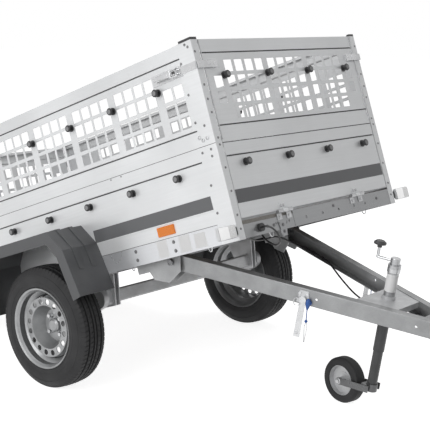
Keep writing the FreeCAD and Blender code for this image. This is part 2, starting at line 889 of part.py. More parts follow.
def build_lamps():
    """White front marker lamps that stand out sideways at the lower corners."""
    lamp = block((lamp_front - lamp_depth, lamp_front),
                 (lamp_side - lamp_half_width, lamp_side + lamp_half_width),
                 (lamp_height - lamp_half_height, lamp_height + lamp_half_height))
    lamp = rounded(lamp, lamp_round, lambda e: lies_along(e, X_AXIS) or lies_along(e, Y_AXIS))
    return both_sides([lamp])


def build_lamp_stubs():
    """Short brackets from the rails to the front lamps."""
    inner = lamp_side - lamp_half_width
    stub = block((-lamp_stub_depth - post_wall, -post_wall), (side_plane, inner),
                 (lamp_height - lamp_stub_half_height, lamp_height + lamp_stub_half_height))
    return both_sides([stub])


def build_rear_lamps():
    """Rear lamp clusters on the rear member."""
    face = -box_length + post_wall
    lamp = block((face - rear_lamp_depth, face),
                 (rear_lamp_side - rear_lamp_half_width, rear_lamp_side + rear_lamp_half_width),
                 (rear_lamp_height - rear_lamp_half_height, rear_lamp_height + rear_lamp_half_height))
    lamp = rounded(lamp, lamp_round, lambda e: lies_along(e, X_AXIS))
    return both_sides([lamp])


def build_reflectors():
    """Amber reflectors low on the side boards."""
    half = reflector_length / 2
    piece = block((-reflector_setback - half, -reflector_setback + half),
                  (skin_plane, skin_plane + reflector_thickness),
                  (reflector_bottom, reflector_bottom + reflector_height))
    piece = rounded(piece, reflector_thickness / 3, lambda e: e.CenterOfMass.y > skin_plane + cut_overrun)
    return both_sides([piece])


def cable_edges(route):
    """Straight runs joined by tangent arcs through the route's points."""
    points = [Vector(*p) for p in route]
    edges = []
    start = points[0]
    for before, corner, after in zip(points, points[1:], points[2:]):
        back = (before - corner).normalize()
        ahead = (after - corner).normalize()
        reach = cable_bend_share * min((before - corner).Length, (after - corner).Length)
        half_turn = (math.pi - back.getAngle(ahead)) / 2
        bend = reach / math.tan(half_turn)
        into, out = corner + back * reach, corner + ahead * reach
        inward = (back + ahead).normalize()
        middle = corner + inward * (bend / math.cos(half_turn) - bend)
        edges.append(Part.LineSegment(start, into).toShape())
        edges.append(Part.Arc(into, middle, out).toShape())
        start = out
    edges.append(Part.LineSegment(start, points[-1]).toShape())
    return edges


def cable_tube(route):
    """Round cable along a route."""
    wire = Part.Wire(cable_edges(route))
    first, second = Vector(*route[0]), Vector(*route[1])
    section = Part.Wire(Part.Circle(first, second - first, cable_radius).toShape())
    tube = wire.makePipeShell([section], True, False)
    print("cable length", round(wire.Length, 1), "volume share",
          round(tube.Volume / (wire.Length * math.pi * cable_radius ** 2), 4))
    return tube


def route_point(route, x):
    """Point of a route's straight runs at a place along X, with the run's direction."""
    for a, b in zip(route, route[1:]):
        if min(a[0], b[0]) <= x <= max(a[0], b[0]) and a[0] != b[0]:
            share = (x - a[0]) / (b[0] - a[0])
            start, end = Vector(*a), Vector(*b)
            return start + (end - start) * share, (end - start).normalize()
    return None


def cable_clip(route, x, seat_height):
    """Clip around the cable at a place along X, with its foot on a face above or below."""
    centre, direction = route_point(route, x)
    base = centre - direction * (clip_length / 2)
    ring = cylinder(base, direction, cable_radius + clip_wall, clip_length)
    low, high = sorted((centre.z, seat_height))
    half = clip_length / 2
    foot = block((centre.x - half, centre.x + half), (centre.y - half, centre.y + half), (low, high))
    path = cylinder(base - direction * clip_length, direction, cable_radius, 3 * clip_length)
    return fused([ring, foot]).cut(path)


def build_box_cable():
    """Cable from the grommet, down and back under the floor to the tipping axis."""
    return [cable_tube(box_cable_route)]


def build_cable_guides():
    """Rubber grommet in the front member and the clips under the floor."""
    base = Vector(-post_wall, -grommet_side, grommet_height)
    ring = cylinder(base, X_AXIS, grommet_radius, grommet_depth)
    neck = cylinder(base - X_AXIS * rail_wall, X_AXIS, grommet_bore, rail_wall)
    grommet = fused([ring, neck]).cut(cylinder(base - X_AXIS * grommet_depth, X_AXIS, cable_radius,
                                               3 * grommet_depth))
    clips = [cable_clip(box_cable_route, -setback, member_height - cross_hat_height)
             for setback in box_clip_setbacks]
    return [grommet] + clips


def beam_side(reach):
    """Side position of a beam's outer face at a distance ahead of the pin."""
    return (apex_reach - reach) * math.tan(math.radians(drawbar_half_angle))


def along_beam(shape):
    """Turns a piece made along X at the left beam's outer face at the pin to lie along that beam."""
    turned_shape = shape.copy()
    turned_shape.rotate(ORIGIN, Z_AXIS, -drawbar_half_angle)
    turned_shape.translate(Vector(0, beam_side(0), 0))
    return turned_shape


half_angle = math.radians(drawbar_half_angle)
beam_centre_side = beam_side(0) - beam_flange / 2 / math.cos(half_angle)
beam_top = beam_height / 2


def pin_boss():
    """Bush at the pin, set square across the beam's rear end."""
    reach = beam_flange / 2 / math.cos(half_angle)
    return across(0, 0, (beam_centre_side - reach + beam_wall, beam_centre_side + reach - beam_wall),
                  pivot_boss_radius)


def build_beams():
    """Two channel beams, open inward, that meet towards the coupling."""
    length = beam_nose / math.cos(half_angle)
    path = [(-beam_flange, -beam_top), (0, -beam_top), (0, beam_top), (-beam_flange, beam_top)]
    beam = slab(ribbon(path, beam_wall), along_x, (-beam_tail, length))
    outer = [e for e in beam.Edges if lies_along(e, X_AXIS) and abs(e.CenterOfMass.y) < beam_wall / 2]
    beam = beam.makeFillet(beam_round - beam_wall / 2, outer)
    holes = [across(reach / math.cos(half_angle), 0, (-2 * beam_wall, beam_wall), beam_hole_radius)
             for reach in beam_hole_places]
    beam = along_beam(beam.cut(holes))
    beam = fused([beam, pin_boss()])
    bore = across(0, 0, (0, box_width), pivot_pin_radius + pin_clearance)
    return both_sides([beam.cut(bore)])


def flat_between_beams(back, front, low, high):
    """Plate that spans the beams between two distances, inside their webs."""
    def half(reach):
        return beam_side(reach) - beam_wall / math.cos(half_angle)
    outline = [(back, -half(back)), (front, -half(front)), (front, half(front)), (back, half(back))]
    return slab(outline, along_z, (low, high))


def build_cross_plate():
    """Folded plate between the beams that carries the jockey wheel."""
    top = beam_top - beam_wall
    plate = flat_between_beams(plate_back, plate_front, top - plate_wall, top)
    inner = beam_side(plate_back) - beam_flange
    skirt_half = inner - plate_wall
    skirt = block((plate_back, plate_back + plate_wall), (-skirt_half, skirt_half),
                  (top - plate_skirt, top - plate_wall / 2))
    front_half = beam_side(plate_front) - beam_flange - plate_wall
    lip = block((plate_front - plate_wall, plate_front), (-front_half, front_half),
                (top - plate_skirt, top - plate_wall / 2))
    collar = cylinder(Vector(jockey_reach, 0, top), Z_AXIS, jockey_outer_radius + collar_wall, collar_height)
    bore = cylinder(Vector(jockey_reach, 0, -beam_height), Z_AXIS, jockey_outer_radius, 2 * beam_height)
    return [fused([plate, skirt, lip, collar]).cut(bore)]


def build_gusset():
    """Plates above and below that tie the beams behind the coupling."""
    top = beam_top - beam_wall
    upper = flat_between_beams(gusset_back, gusset_front, top - gusset_wall, top)
    lower = flat_between_beams(gusset_back, gusset_front, -top, gusset_wall - top)
    return [upper, lower]


def build_coupling():
    """Coupling housing with its ball socket, seated on the upper faces of the beams' nose."""
    low = beam_top
    shell_path = [(-head_half_width, low), (-head_half_width, low + head_height),
                  (head_half_width, low + head_height), (head_half_width, low)]
    shell = slab(ribbon(shell_path, -head_wall), along_x, (head_back, socket_reach))
    foot = block((head_back, beam_nose), (-head_half_width, head_half_width), (low, low + head_wall))
    centre = Vector(socket_reach, 0, low + head_height - head_wall - socket_radius - socket_wall)
    dome = cylinder(Vector(centre.x, 0, centre.z - socket_radius + socket_wall), Z_AXIS,
                    socket_radius + socket_wall, low + head_height - centre.z + socket_radius - socket_wall)
    solid = fused([shell, foot, dome])
    bowl = Part.makeSphere(socket_radius, centre)
    throat = cylinder(centre - Z_AXIS * (2 * socket_radius), Z_AXIS, socket_radius, 2 * socket_radius)
    bolts = [cylinder(Vector(coupling_bolt_back + i * coupling_bolt_pitch, 0, low - cut_overrun), Z_AXIS,
                      coupling_bolt_radius, head_wall + 2 * cut_overrun) for i in (0, 1)]
    return [solid.cut([bowl, throat] + bolts)]


def build_coupling_lever():
    """Lift handle on top of the coupling."""
    low = beam_top + head_height
    back = lever_pivot_reach - lever_length
    half = head_half_width * 2 / 3
    path = [(lever_pivot_reach, low), (lever_pivot_reach, low + lever_thickness),
            (lever_pivot_reach - lever_length / 3, low + 2 * lever_thickness),
            (back, low + 2 * lever_thickness), (back, low + lever_thickness),
            (lever_pivot_reach - lever_length / 3, low + lever_thickness / 2),
            (lever_pivot_reach - lever_length / 2, low)]
    lever = slab(path, along_y, (-half, half))
    return [lever]


def build_bed_latches():
    """Bent plates on the beams that hold the toggle handles."""
    reach = bed_latch_reach / math.cos(half_angle)
    low, high = beam_top - bed_latch_depth, beam_top - bed_latch_inset
    half = bed_latch_half
    outline = [(reach - half, low), (reach + half, low), (reach + half * 2 / 3, high),
               (reach - half * 2 / 3, high)]
    plate = slab(outline, along_y, (0, bed_latch_wall))
    return both_sides([along_beam(plate)])


def build_latch_handles():
    """Toggle handles that hang from the latch plates."""
    reach = bed_latch_reach / math.cos(half_angle)
    top = beam_top - bed_latch_depth + handle_eye
    half = handle_width / 2
    face = bed_latch_wall
    blade = block((reach - half, reach + half), (face, face + handle_wall), (top - handle_length, top))
    eye = across(reach, top, (face, face + 2 * handle_wall), handle_eye)
    handle = fused([blade, eye])
    handle.rotate(Vector(reach, 0, top), Y_AXIS, handle_lean)
    return both_sides([along_beam(handle)])


def build_latch_clips():
    """Spring clips that lock the toggle handles."""
    reach = (bed_latch_reach + clip_ahead) / math.cos(half_angle)
    height = beam_top - clip_drop
    ring = across(reach, height, (bed_latch_wall, bed_latch_wall + clip_thickness), clip_radius)
    return both_sides([along_beam(ring)])


def build_bar_cable():
    """Cable from the tipping axis along the left beam and under the cross plate to the plug."""
    return [cable_tube(bar_cable_route)]


def build_bar_clips():
    """Clips in the left beam and the parking holder for the plug."""
    seat = beam_wall - beam_top
    clips = [cable_clip(bar_cable_route, reach, seat) for reach in bar_clip_reaches]
    centre = Vector(holder_start, 0, plug_height)
    inner = plug_radius + holder_gap
    cup = cylinder(centre, X_AXIS, inner + holder_wall, holder_length)
    web = block((holder_start, holder_start + holder_length), (-holder_web / 2, holder_web / 2),
                (plug_height, -beam_top))
    return clips + [fused([cup, web]).cut(cylinder(centre, X_AXIS, inner, holder_length))]


def build_plug():
    """Round plug at the cable's end, parked in its holder."""
    grip_end = plug_start + plug_grip_length
    grip = cylinder(Vector(plug_start, 0, plug_height), X_AXIS, plug_grip_radius, plug_grip_length)
    body = cylinder(Vector(grip_end, 0, plug_height), X_AXIS, plug_radius, plug_length - plug_grip_length)
    entry = cylinder(Vector(plug_start - clip_length, 0, plug_height), X_AXIS, cable_radius,
                     bar_cable_route[-1][0] - plug_start + clip_length)
    return [fused([grip, body]).cut(entry)]


def jockey_axis_point(height):
    """Point on the jockey tube's axis."""
    return Vector(jockey_reach, 0, height)


def pipe(low, high, radius, wall):
    """Round tube on the jockey axis."""
    outer = cylinder(jockey_axis_point(low), Z_AXIS, radius, high - low)
    return outer.cut(cylinder(jockey_axis_point(low), Z_AXIS, radius - wall, high - low))


def build_jockey_tube():
    """Outer tube with its cap and the boss for the crank."""
    top = beam_top + jockey_head_top
    tube = pipe(beam_top + jockey_outer_bottom, top, jockey_outer_radius, jockey_outer_wall)
    cap = cylinder(jockey_axis_point(top), Z_AXIS, jockey_cap_radius, jockey_cap_height)
    boss = cylinder(jockey_axis_point(top), Z_AXIS, jockey_boss_radius,
                    jockey_cap_height + jockey_boss_height)
    return [fused([tube, cap, boss])]


def build_jockey_clamp():
    """Clamp collar under the cross plate with its handle."""
    high = beam_top - beam_wall - plate_wall
    collar = pipe(high - clamp_height, high, jockey_outer_radius + clamp_wall, clamp_wall)
    handle_height = high - clamp_height / 2
    start = jockey_axis_point(handle_height) - Y_AXIS * (jockey_outer_radius + clamp_wall / 2)
    handle = cylinder(start, Y_AXIS * -1, clamp_handle_radius, clamp_handle_length / 2)
    return [fused([collar, handle])]


def crank_points():
    """Corners of the crank rod: out of the boss, along and up to the knob."""
    height = beam_top + jockey_head_top + jockey_cap_height + jockey_boss_height - crank_rod_radius * 2
    angle = math.radians(crank_turn)
    out = Vector(math.cos(angle), math.sin(angle), 0)
    start = jockey_axis_point(height) + out * jockey_boss_radius
    elbow = jockey_axis_point(height) + out * crank_reach
    return start, elbow, elbow + Z_AXIS * crank_post


def build_crank():
    """Crank rod bent up to the knob."""
    start, elbow, top = crank_points()
    arm = cylinder(start, elbow - start, crank_rod_radius, (elbow - start).Length)
    post = cylinder(elbow, Z_AXIS, crank_rod_radius, (top - elbow).Length)
    return [fused([arm, Part.makeSphere(crank_rod_radius, elbow), post])]


def build_crank_knob():
    """Mushroom knob on the crank."""
    end = crank_points()[2]
    profile = [(0, 0), (crank_knob_neck, 0), (crank_knob_neck, crank_knob_height / 3),
               (crank_knob_radius, crank_knob_height / 2), (crank_knob_radius, crank_knob_height * 3 / 4),
               (crank_knob_radius * 2 / 3, crank_knob_height), (0, crank_knob_height)]
    return [turned(profile, end, Z_AXIS, lambda r, d: end + X_AXIS * r + Z_AXIS * d)]


def swivelled(shape):
    """Turns a fork piece about the jockey axis to the angle at which it trails."""
    result = shape.copy()
    result.rotate(jockey_axis_point(0), Z_AXIS, fork_yaw)
    return result


def jockey_wheel_height():
    """Height of the jockey wheel's centre in the drawbar frame, so that its tyre meets the ground."""
    drop = math.radians(drawbar_drop)
    yaw = math.radians(fork_yaw)
    pin = pin_point()
    centre_x = jockey_reach - fork_trail * math.cos(yaw)
    lean = math.asin(abs(math.sin(yaw) * math.sin(drop)))
    edge = jockey_tyre_width / 2 - jockey_tyre_round
    reach = jockey_tyre_radius * math.cos(lean) + edge * math.sin(lean)
    return (reach - pin.z + centre_x * math.sin(drop)) / math.cos(drop)


def build_jockey_inner(wheel_height):
    """Inner tube that slides in the outer one."""
    bottom = wheel_height + fork_drop - fork_root_height / 2 + fork_collar_height
    return [pipe(bottom, beam_top + jockey_inner_top, jockey_inner_radius, jockey_inner_wall)]


def build_fork(wheel_height):
    """Swivelling fork: collar, two tapered arms and the wheel pin."""
    root = wheel_height + fork_drop
    collar = cylinder(jockey_axis_point(root - fork_root_height / 2), Z_AXIS, fork_collar_radius,
                      fork_collar_height - jockey_fit)
    hub = Vector(jockey_reach - fork_trail, 0, wheel_height)
    half = fork_root_height / 2
    front = jockey_reach + fork_collar_radius / 2
    outline = [(front, root - half), (front, root + half), (hub.x, hub.z + fork_tip_radius),
               (hub.x, hub.z - fork_tip_radius)]
    arms = []
    for low in (-fork_gap / 2 - fork_wall, fork_gap / 2):
        arms.append(slab(outline, along_y, (low, low + fork_wall)))
        arms.append(across(hub.x, hub.z, (low, low + fork_wall), fork_tip_radius))
    bridge = block((jockey_reach - fork_collar_radius - fork_wall / 2, jockey_reach),
                   (-fork_gap / 2, fork_gap / 2), (root - half, root + half))
    pin = across(hub.x, hub.z, (-fork_gap / 2 - 2 * fork_wall, fork_gap / 2 + 2 * fork_wall), fork_pin_radius)
    return [swivelled(fused([collar, bridge, pin] + arms))]


def jockey_tyre(wheel_height):
    """Solid rubber tyre of the jockey wheel."""
    half = jockey_tyre_width / 2
    outer = jockey_tyre_radius
    near = [(jockey_rim_radius, half), (outer - jockey_tyre_round, half),
            (outer - jockey_tyre_round / 3, half - jockey_tyre_round / 3), (outer, half - jockey_tyre_round)]
    tyre = wheel_turned(near + [(radius, -side) for radius, side in near[::-1]])
    return at_jockey_hub(tyre, wheel_height)


def jockey_rim(wheel_height):
    """Pressed rim of the jockey wheel with its hub."""
    half = jockey_rim_width / 2
    wall = jockey_rim_wall
    barrel = wheel_turned([(jockey_rim_radius - wall, -half), (jockey_rim_radius, -half),
                           (jockey_rim_radius, half), (jockey_rim_radius - wall, half)])
    disc = wheel_turned([(jockey_hub_radius, -wall), (jockey_rim_radius - wall, -wall),
                         (jockey_rim_radius - wall, wall), (jockey_hub_radius, wall)])
    bore = fork_pin_radius + pin_clearance
    hub_half = jockey_hub_width / 2
    hub = wheel_turned([(bore, -hub_half), (jockey_hub_radius, -hub_half), (jockey_hub_radius, hub_half),
                        (bore, hub_half)])
    return at_jockey_hub(fused([barrel, disc, hub]), wheel_height)


def at_jockey_hub(shape, wheel_height):
    """Moves a wheel piece from its own centre to the fork's pin."""
    moved = shape.copy()
    moved.translate(Vector(jockey_reach - fork_trail, 0, wheel_height))
    return [swivelled(moved)]


def build_pivot_brackets():
    """Splayed brackets under the floor that hold the tipping pins, in the box frame."""
    seat = member_height - cross_hat_height - pivot_height
    outline = [(bracket_front, bracket_front_top), (bracket_shin, bracket_shin_low),
               (-bracket_heel, bracket_heel_low), (-bracket_tail, bracket_tail_low),
               (-bracket_hip, bracket_end_low), (-bracket_end, bracket_end_low), (-bracket_end, seat),
               (-bracket_knee, seat), (-bracket_knee, bracket_front_top)]
    gap = bracket_gap / 2
    cheeks = [slab(outline, along_y, (low, low + bracket_wall)) for low in (gap, -gap - bracket_wall)]
    web = block((-bracket_end, bracket_wall - bracket_end), (-gap - cut_overrun / 2, gap + cut_overrun / 2),
                (bracket_end_low, seat))
    bracket = fused(cheeks + [web])
    bracket.rotate(ORIGIN, Z_AXIS, -drawbar_half_angle)
    bracket.translate(Vector(-pivot_setback, beam_centre_side, pivot_height))
    return both_sides([bracket.cut(across(-pivot_setback, pivot_height, (0, side_plane), pivot_pin_radius))])


def build_pivot_pins():
    """Pins on one line across the trailer, with their heads."""
    reach = bracket_gap / 2 + bracket_wall
    half = reach / math.cos(half_angle) + pivot_head_radius * math.tan(half_angle)
    low, high = beam_centre_side - half, beam_centre_side + half
    pin = across(-pivot_setback, pivot_height, (low, high), pivot_pin_radius)
    heads = [across(-pivot_setback, pivot_height, span, pivot_head_radius)
             for span in ((low - pivot_head_thickness, low), (high, high + pivot_head_thickness))]
    return both_sides([fused([pin] + heads)])


def box_place():
    """Placement of the box frame with the road wheels on the ground."""
    tilt = Rotation(Y_AXIS, -box_tilt)
    hub = tilt.multVec(Vector(-wheel_setback, 0, -wheel_drop))
    return Placement(Vector(-hub.x, 0, tyre_radius - hub.z), tilt)


def pin_point():
    """Tipping pin's place in the trailer, over the ground below the road wheels."""
    return box_place().multVec(Vector(-pivot_setback, 0, pivot_height))


def drawbar_place():
    """Placement of the drawbar frame at the tipping pin."""
    return Placement(pin_point(), Rotation(Y_AXIS, drawbar_drop))


def wheel_pieces(shape):
    """Left wheel piece at its hub in the box frame; the right one is its mirror image."""
    left = shape.copy()
    left.translate(Vector(-wheel_setback, wheel_side, -wheel_drop))
    return left, mirrored(left)


def build():
    """All nodes as {name: (solids, placement)}."""
    box = box_place()
    bar = drawbar_place()
    tyre_left, tyre_right = wheel_pieces(wheel_tyre())
    rim_left, rim_right = wheel_pieces(wheel_rim())
    front_board = build_front_board()
    front_mesh = build_front_mesh()
    hooks = build_latch_hooks()
    low_knobs = end_knobs(lower_knob_height)
    high_knobs = end_knobs(upper_knob_height)
    height = jockey_wheel_height()
    lower_posts = corner_set(angle_post(post_side_flange, 0, board_top))
    upper_posts = corner_set(angle_post(mesh_post_flange, mesh_bottom, mesh_top))
    nodes = {
        "side_rails": (build_side_rails(), box), "end_members": (build_end_members(), box),
        "cross_hats": (build_cross_hats(), box), "floor_panel": (build_floor(), box),
        "corner_posts": (lower_posts, box), "mesh_posts": (upper_posts, box),
        "side_boards": (build_side_boards(), box), "side_mesh": (build_side_mesh(), box),
        "post_caps": (build_post_caps(), box), "side_knobs": (build_side_knobs(), box),
        "corner_latches": (build_corner_latches(), box), "board_hinges": (build_board_hinges(), box),
        "mesh_pins": (mesh_pin_shapes(), box), "axle_tube": (build_axle(), box),
        "axle_brackets": (build_axle_brackets(), box), "trailing_arms": (build_trailing_arms(), box),
        "mudguards": (build_mudguards(), box), "front_lamps": (build_lamps(), box),
        "lamp_stubs": (build_lamp_stubs(), box), "rear_lamps": (build_rear_lamps(), box),
        "side_reflectors": (build_reflectors(), box), "cable_guides": (build_cable_guides(), box),
        "box_cable": (build_box_cable(), box), "drawbar_cable": (build_bar_cable(), bar),
        "drawbar_clips": (build_bar_clips(), bar), "plug": (build_plug(), bar),
        "pivot_brackets": (build_pivot_brackets(), box), "pivot_pins": (build_pivot_pins(), box),
        "front_board": ([front_board], box), "front_board_knobs": (low_knobs, box),
        "rear_board": ([end_for_end(front_board)], box),
        "rear_board_knobs": ([end_for_end(k) for k in low_knobs], box),
        "front_mesh": ([front_mesh], box), "front_mesh_hooks": (hooks, box),
        "front_mesh_knobs": (high_knobs, box), "rear_mesh": ([end_for_end(front_mesh)], box),
        "rear_mesh_hooks": ([end_for_end(h) for h in hooks], box),
        "rear_mesh_knobs": ([end_for_end(k) for k in high_knobs], box),
        "tyre_left": ([tyre_left], box), "rim_left": ([rim_left], box),
        "tyre_right": ([tyre_right], box), "rim_right": ([rim_right], box),
        "drawbar_beams": (build_beams(), bar), "cross_plate": (build_cross_plate(), bar),
        "nose_gussets": (build_gusset(), bar), "coupling_head": (build_coupling(), bar),
        "coupling_lever": (build_coupling_lever(), bar), "bed_latch_plates": (build_bed_latches(), bar),
        "bed_latch_handles": (build_latch_handles(), bar), "bed_latch_clips": (build_latch_clips(), bar),
        "jockey_tube": (build_jockey_tube(), bar), "jockey_clamp": (build_jockey_clamp(), bar),
        "jockey_crank": (build_crank(), bar),
        "crank_knob": (build_crank_knob(), bar), "jockey_inner_tube": (build_jockey_inner(height), bar),
        "jockey_fork": (build_fork(height), bar), "jockey_tyre": (jockey_tyre(height), bar),
        "jockey_rim": (jockey_rim(height), bar),
    }
    return nodes


def placed(solids, place):
    """One shape of the given solids at their placement."""
    shape = Part.makeCompound(solids) if len(solids) > 1 else solids[0].copy()
    shape.Placement = place.multiply(shape.Placement)
    return shape


def main():
    """Writes one file for each node, with the whole trailer centred on its length."""
    os.makedirs("parts", exist_ok=True)
    shapes = {name: placed(solids, place) for name, (solids, place) in build().items()}
    whole = FreeCAD.BoundBox()
    for shape in shapes.values():
        whole.add(shape.optimalBoundingBox(False))
    shift = Vector(-(whole.XMin + whole.XMax) / 2, 0, 0)
    for name, shape in shapes.items():
        shape.translate(shift)
        if not shape.isValid():
            print("not valid:", name)
        shape.exportStep("parts/" + name + ".step")
    print("length, width, height:", whole.XLength, whole.YLength, whole.ZLength, "lowest", whole.ZMin)
    print("shift:", shift.x, "pin:", pin_point() + shift)


main()
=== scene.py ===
"""Dresses the tipping box trailer.

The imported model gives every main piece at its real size. This script adds the finish of each surface,
the road tyres with their tread, the fasteners, the latches' small parts and the blank stickers, and sets
up the studio light and the camera. Lengths of the trailer's classes are in millimetres; those of the
finishes' patterns and of the studio are in metres.
"""
import logging
import math
from dataclasses import dataclass
from enum import Enum

import bmesh
import bpy
from mathutils import Matrix, Vector


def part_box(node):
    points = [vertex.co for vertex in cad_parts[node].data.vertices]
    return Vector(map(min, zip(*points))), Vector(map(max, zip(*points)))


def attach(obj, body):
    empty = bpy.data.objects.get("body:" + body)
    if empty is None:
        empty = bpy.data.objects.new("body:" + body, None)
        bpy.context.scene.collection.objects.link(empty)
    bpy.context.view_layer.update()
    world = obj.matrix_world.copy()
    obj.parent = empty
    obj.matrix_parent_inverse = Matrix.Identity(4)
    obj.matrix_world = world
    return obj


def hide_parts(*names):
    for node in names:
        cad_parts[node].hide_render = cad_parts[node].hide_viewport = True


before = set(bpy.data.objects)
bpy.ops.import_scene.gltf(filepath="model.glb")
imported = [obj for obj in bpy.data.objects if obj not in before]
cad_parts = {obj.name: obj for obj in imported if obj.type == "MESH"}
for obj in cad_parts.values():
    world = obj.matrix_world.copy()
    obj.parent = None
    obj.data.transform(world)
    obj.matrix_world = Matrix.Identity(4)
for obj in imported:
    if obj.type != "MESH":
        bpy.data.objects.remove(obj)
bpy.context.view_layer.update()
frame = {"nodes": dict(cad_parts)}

LOG = logging.getLogger("trailer")
MM = 0.001
Socket = bpy.types.NodeSocket
Colour = tuple[float, float, float]
Point = tuple[float, float, float]
Pair = tuple[float, float]
Profile = tuple[Pair, ...]


def circle(count: int, phase: float = 0.0) -> list[Pair]:
    """Cosine and sine of each of a number of evenly spaced angles, the first at a phase in degrees."""
    angles = [math.radians(phase) + 2 * math.pi * i / count for i in range(count)]
    return [(math.cos(angle), math.sin(angle)) for angle in angles]


@dataclass(frozen=True)
class Stand:
    """A frame of the trailer, which may lean, and which turns about the tipping pin."""

    lean: float
    pin_there: Point
    pin: Point = (0.223149, 0.0, 0.602577)

    def turn(self) -> Matrix:
        """Rotation from this frame to the trailer's."""
        return Matrix.Rotation(math.radians(self.lean), 3, "Y")

    def at(self, x: float, y: float, z: float) -> Vector:
        """Point in metres of the trailer's frame, from one in millimetres of this frame."""
        here = Vector((x, y, z)) - Vector(self.pin_there)
        return self.turn() @ (here * MM) + Vector(self.pin)

    def along(self, x: float, y: float, z: float) -> Vector:
        """Unit direction of this frame in the trailer's frame."""
        return (self.turn() @ Vector((x, y, z))).normalized()


BOX = Stand(lean=-19.56, pin_there=(-515, 0, -18))
BAR = Stand(lean=8.89, pin_there=(0, 0, 0))
WORLD = Stand(lean=0, pin_there=(223.149, 0, 602.577))


class Body(Enum):
    """Bodies of the model that the pieces move with."""

    DRAWBAR = "drawbar"
    BED = "bed"
    WHEEL_LEFT = "wheel_left"
    WHEEL_RIGHT = "wheel_right"
    FRONT_BOARD = "front_board"
    REAR_BOARD = "rear_board"
    FRONT_MESH = "front_mesh"
    REAR_MESH = "rear_mesh"
    JOCKEY_FORK = "jockey_fork"
    JOCKEY_WHEEL = "jockey_wheel"


class Side(Enum):
    """Sides of the trailer, by the sign of their Y."""

    LEFT = 1
    RIGHT = -1

    @property
    def out(self) -> Point:
        """Direction out of this side."""
        return (0.0, float(self.value), 0.0)


class End(Enum):
    """Ends of the box, by the sign of their X."""

    FRONT = 1
    REAR = -1

    @property
    def out(self) -> Point:
        """Direction out of this end."""
        return (float(self.value), 0.0, 0.0)


CORNERS = [(side, end) for side in Side for end in End]
BOARDS = {End.FRONT: Body.FRONT_BOARD, End.REAR: Body.REAR_BOARD}
MESHES = {End.FRONT: Body.FRONT_MESH, End.REAR: Body.REAR_MESH}


class Nodes:
    """A node tree with short ways to add its nodes and to join them."""

    def __init__(self, tree: bpy.types.NodeTree) -> None:
        """Takes the node tree of a material or of the world."""
        self.tree = tree

    def feed(self, node: bpy.types.Node, inputs: dict[str | int, object]) -> bpy.types.Node:
        """Sets inputs of a node, or links them.

        Args:
            node: The node.
            inputs: Value of each input, or the output that feeds it, by the input's number or by its name
                with an underscore for a space. A name in small letters is a setting of the node's own.

        Returns:
            The node.
        """
        for key, value in inputs.items():
            if isinstance(key, str) and key.islower():
                setattr(node, key, value)
                continue
            socket = node.inputs[key.replace("_", " ") if isinstance(key, str) else key]
            if isinstance(value, Socket):
                self.tree.links.new(value, socket)
            else:
                socket.default_value = (*value, 1.0) if socket.type == "RGBA" else value
        return node

    def node(self, kind: str, **inputs: object) -> bpy.types.Node:
        """Adds a node of a kind, with its settings and inputs."""
        return self.feed(self.tree.nodes.new("ShaderNode" + kind), inputs)

    def calc(self, kind: str, first: Socket, second: float | Socket = 0.0) -> Socket:
        """Joins two numbers by one step of arithmetic, by Blender's name of the step."""
        return self.feed(self.node("Math", operation=kind), {0: first, 1: second}).outputs[0]

    def ramp(self, source: Socket, low: float, high: float, start: float = 0.0, end: float = 1.0) -> Socket:
        """Stretches a pattern's range, from low to high, to a new one from start to end."""
        return self.node("MapRange", Value=source, From_Min=low, From_Max=high, To_Min=start,
                         To_Max=end).outputs["Result"]

    def seen(self) -> Socket:
        """Tells the rays in which a surface is seen from those that light the scene.

        Returns:
            The output that is one for rays of the camera, of gloss and through glass, and zero for the rest.
        """
        rays = self.node("LightPath").outputs
        gloss = self.calc("MAXIMUM", rays["Is Camera Ray"], rays["Is Glossy Ray"])
        return self.calc("MAXIMUM", gloss, rays["Is Transmission Ray"])


class Surface(Nodes):
    """Node tree of one finish around its shader."""

    def __init__(self, name: str) -> None:
        """Starts a material with a single shader.

        Args:
            name: Name of the finish.
        """
        self.material = bpy.data.materials.new(name)
        self.material.use_nodes = True
        super().__init__(self.material.node_tree)
        self.shader = self.tree.nodes["Principled BSDF"]

    def set(self, **inputs: object) -> None:
        """Feeds inputs of the shader."""
        self.feed(self.shader, inputs)

    def coordinates(self, stand: Stand | None = None, stretch: Point = (1, 1, 1)) -> Socket:
        """Place on the piece, in metres.

        Args:
            stand: Frame along whose axes it is given, if not the trailer's own.
            stretch: Scale along each axis.

        Returns:
            The output that gives the place.
        """
        made = self.node("TexCoord").outputs["Object"]
        if stand is not None:
            made = self.node("Mapping", vector_type="TEXTURE", Vector=made, Location=stand.pin,
                             Rotation=(0.0, math.radians(stand.lean), 0.0)).outputs["Vector"]
        return self.node("Mapping", Vector=made, Scale=stretch).outputs["Vector"]

    def noise(self, place: Socket, scale: float, detail: float) -> Socket:
        """Cloudy pattern of a given number of blobs to the metre."""
        return self.node("TexNoise", Vector=place, Scale=scale, Detail=detail).outputs["Fac"]

    def patches(self, place: Socket, scale: float, detail: float = 4, low: float = 0.35,
                high: float = 0.7) -> Socket:
        """Cloudy pattern, none where the noise is low and full where it is high."""
        return self.ramp(self.noise(place, scale, detail), low, high)

    def blend(self, share: Socket, first: Colour | Socket, second: Colour | Socket) -> Socket:
        """Mixes two colours by a pattern, which gives the share of the second one."""
        return self.feed(self.node("Mix", data_type="RGBA"), {0: share, 6: first, 7: second}).outputs[2]

    def bump(self, source: Socket, strength: float, depth: float) -> None:
        """Adds the relief of a pattern, by the share that shows and the depth in metres."""
        relief = self.node("Bump", Height=source, Strength=strength, Distance=depth)
        self.set(Normal=relief.outputs["Normal"])

    def grain(self, place: Socket, scale: float, strength: float, depth: float) -> None:
        """Adds a cloudy relief, by its grains to the metre, the share that shows and the depth in metres."""
        self.bump(self.noise(place, scale, 2), strength, depth)


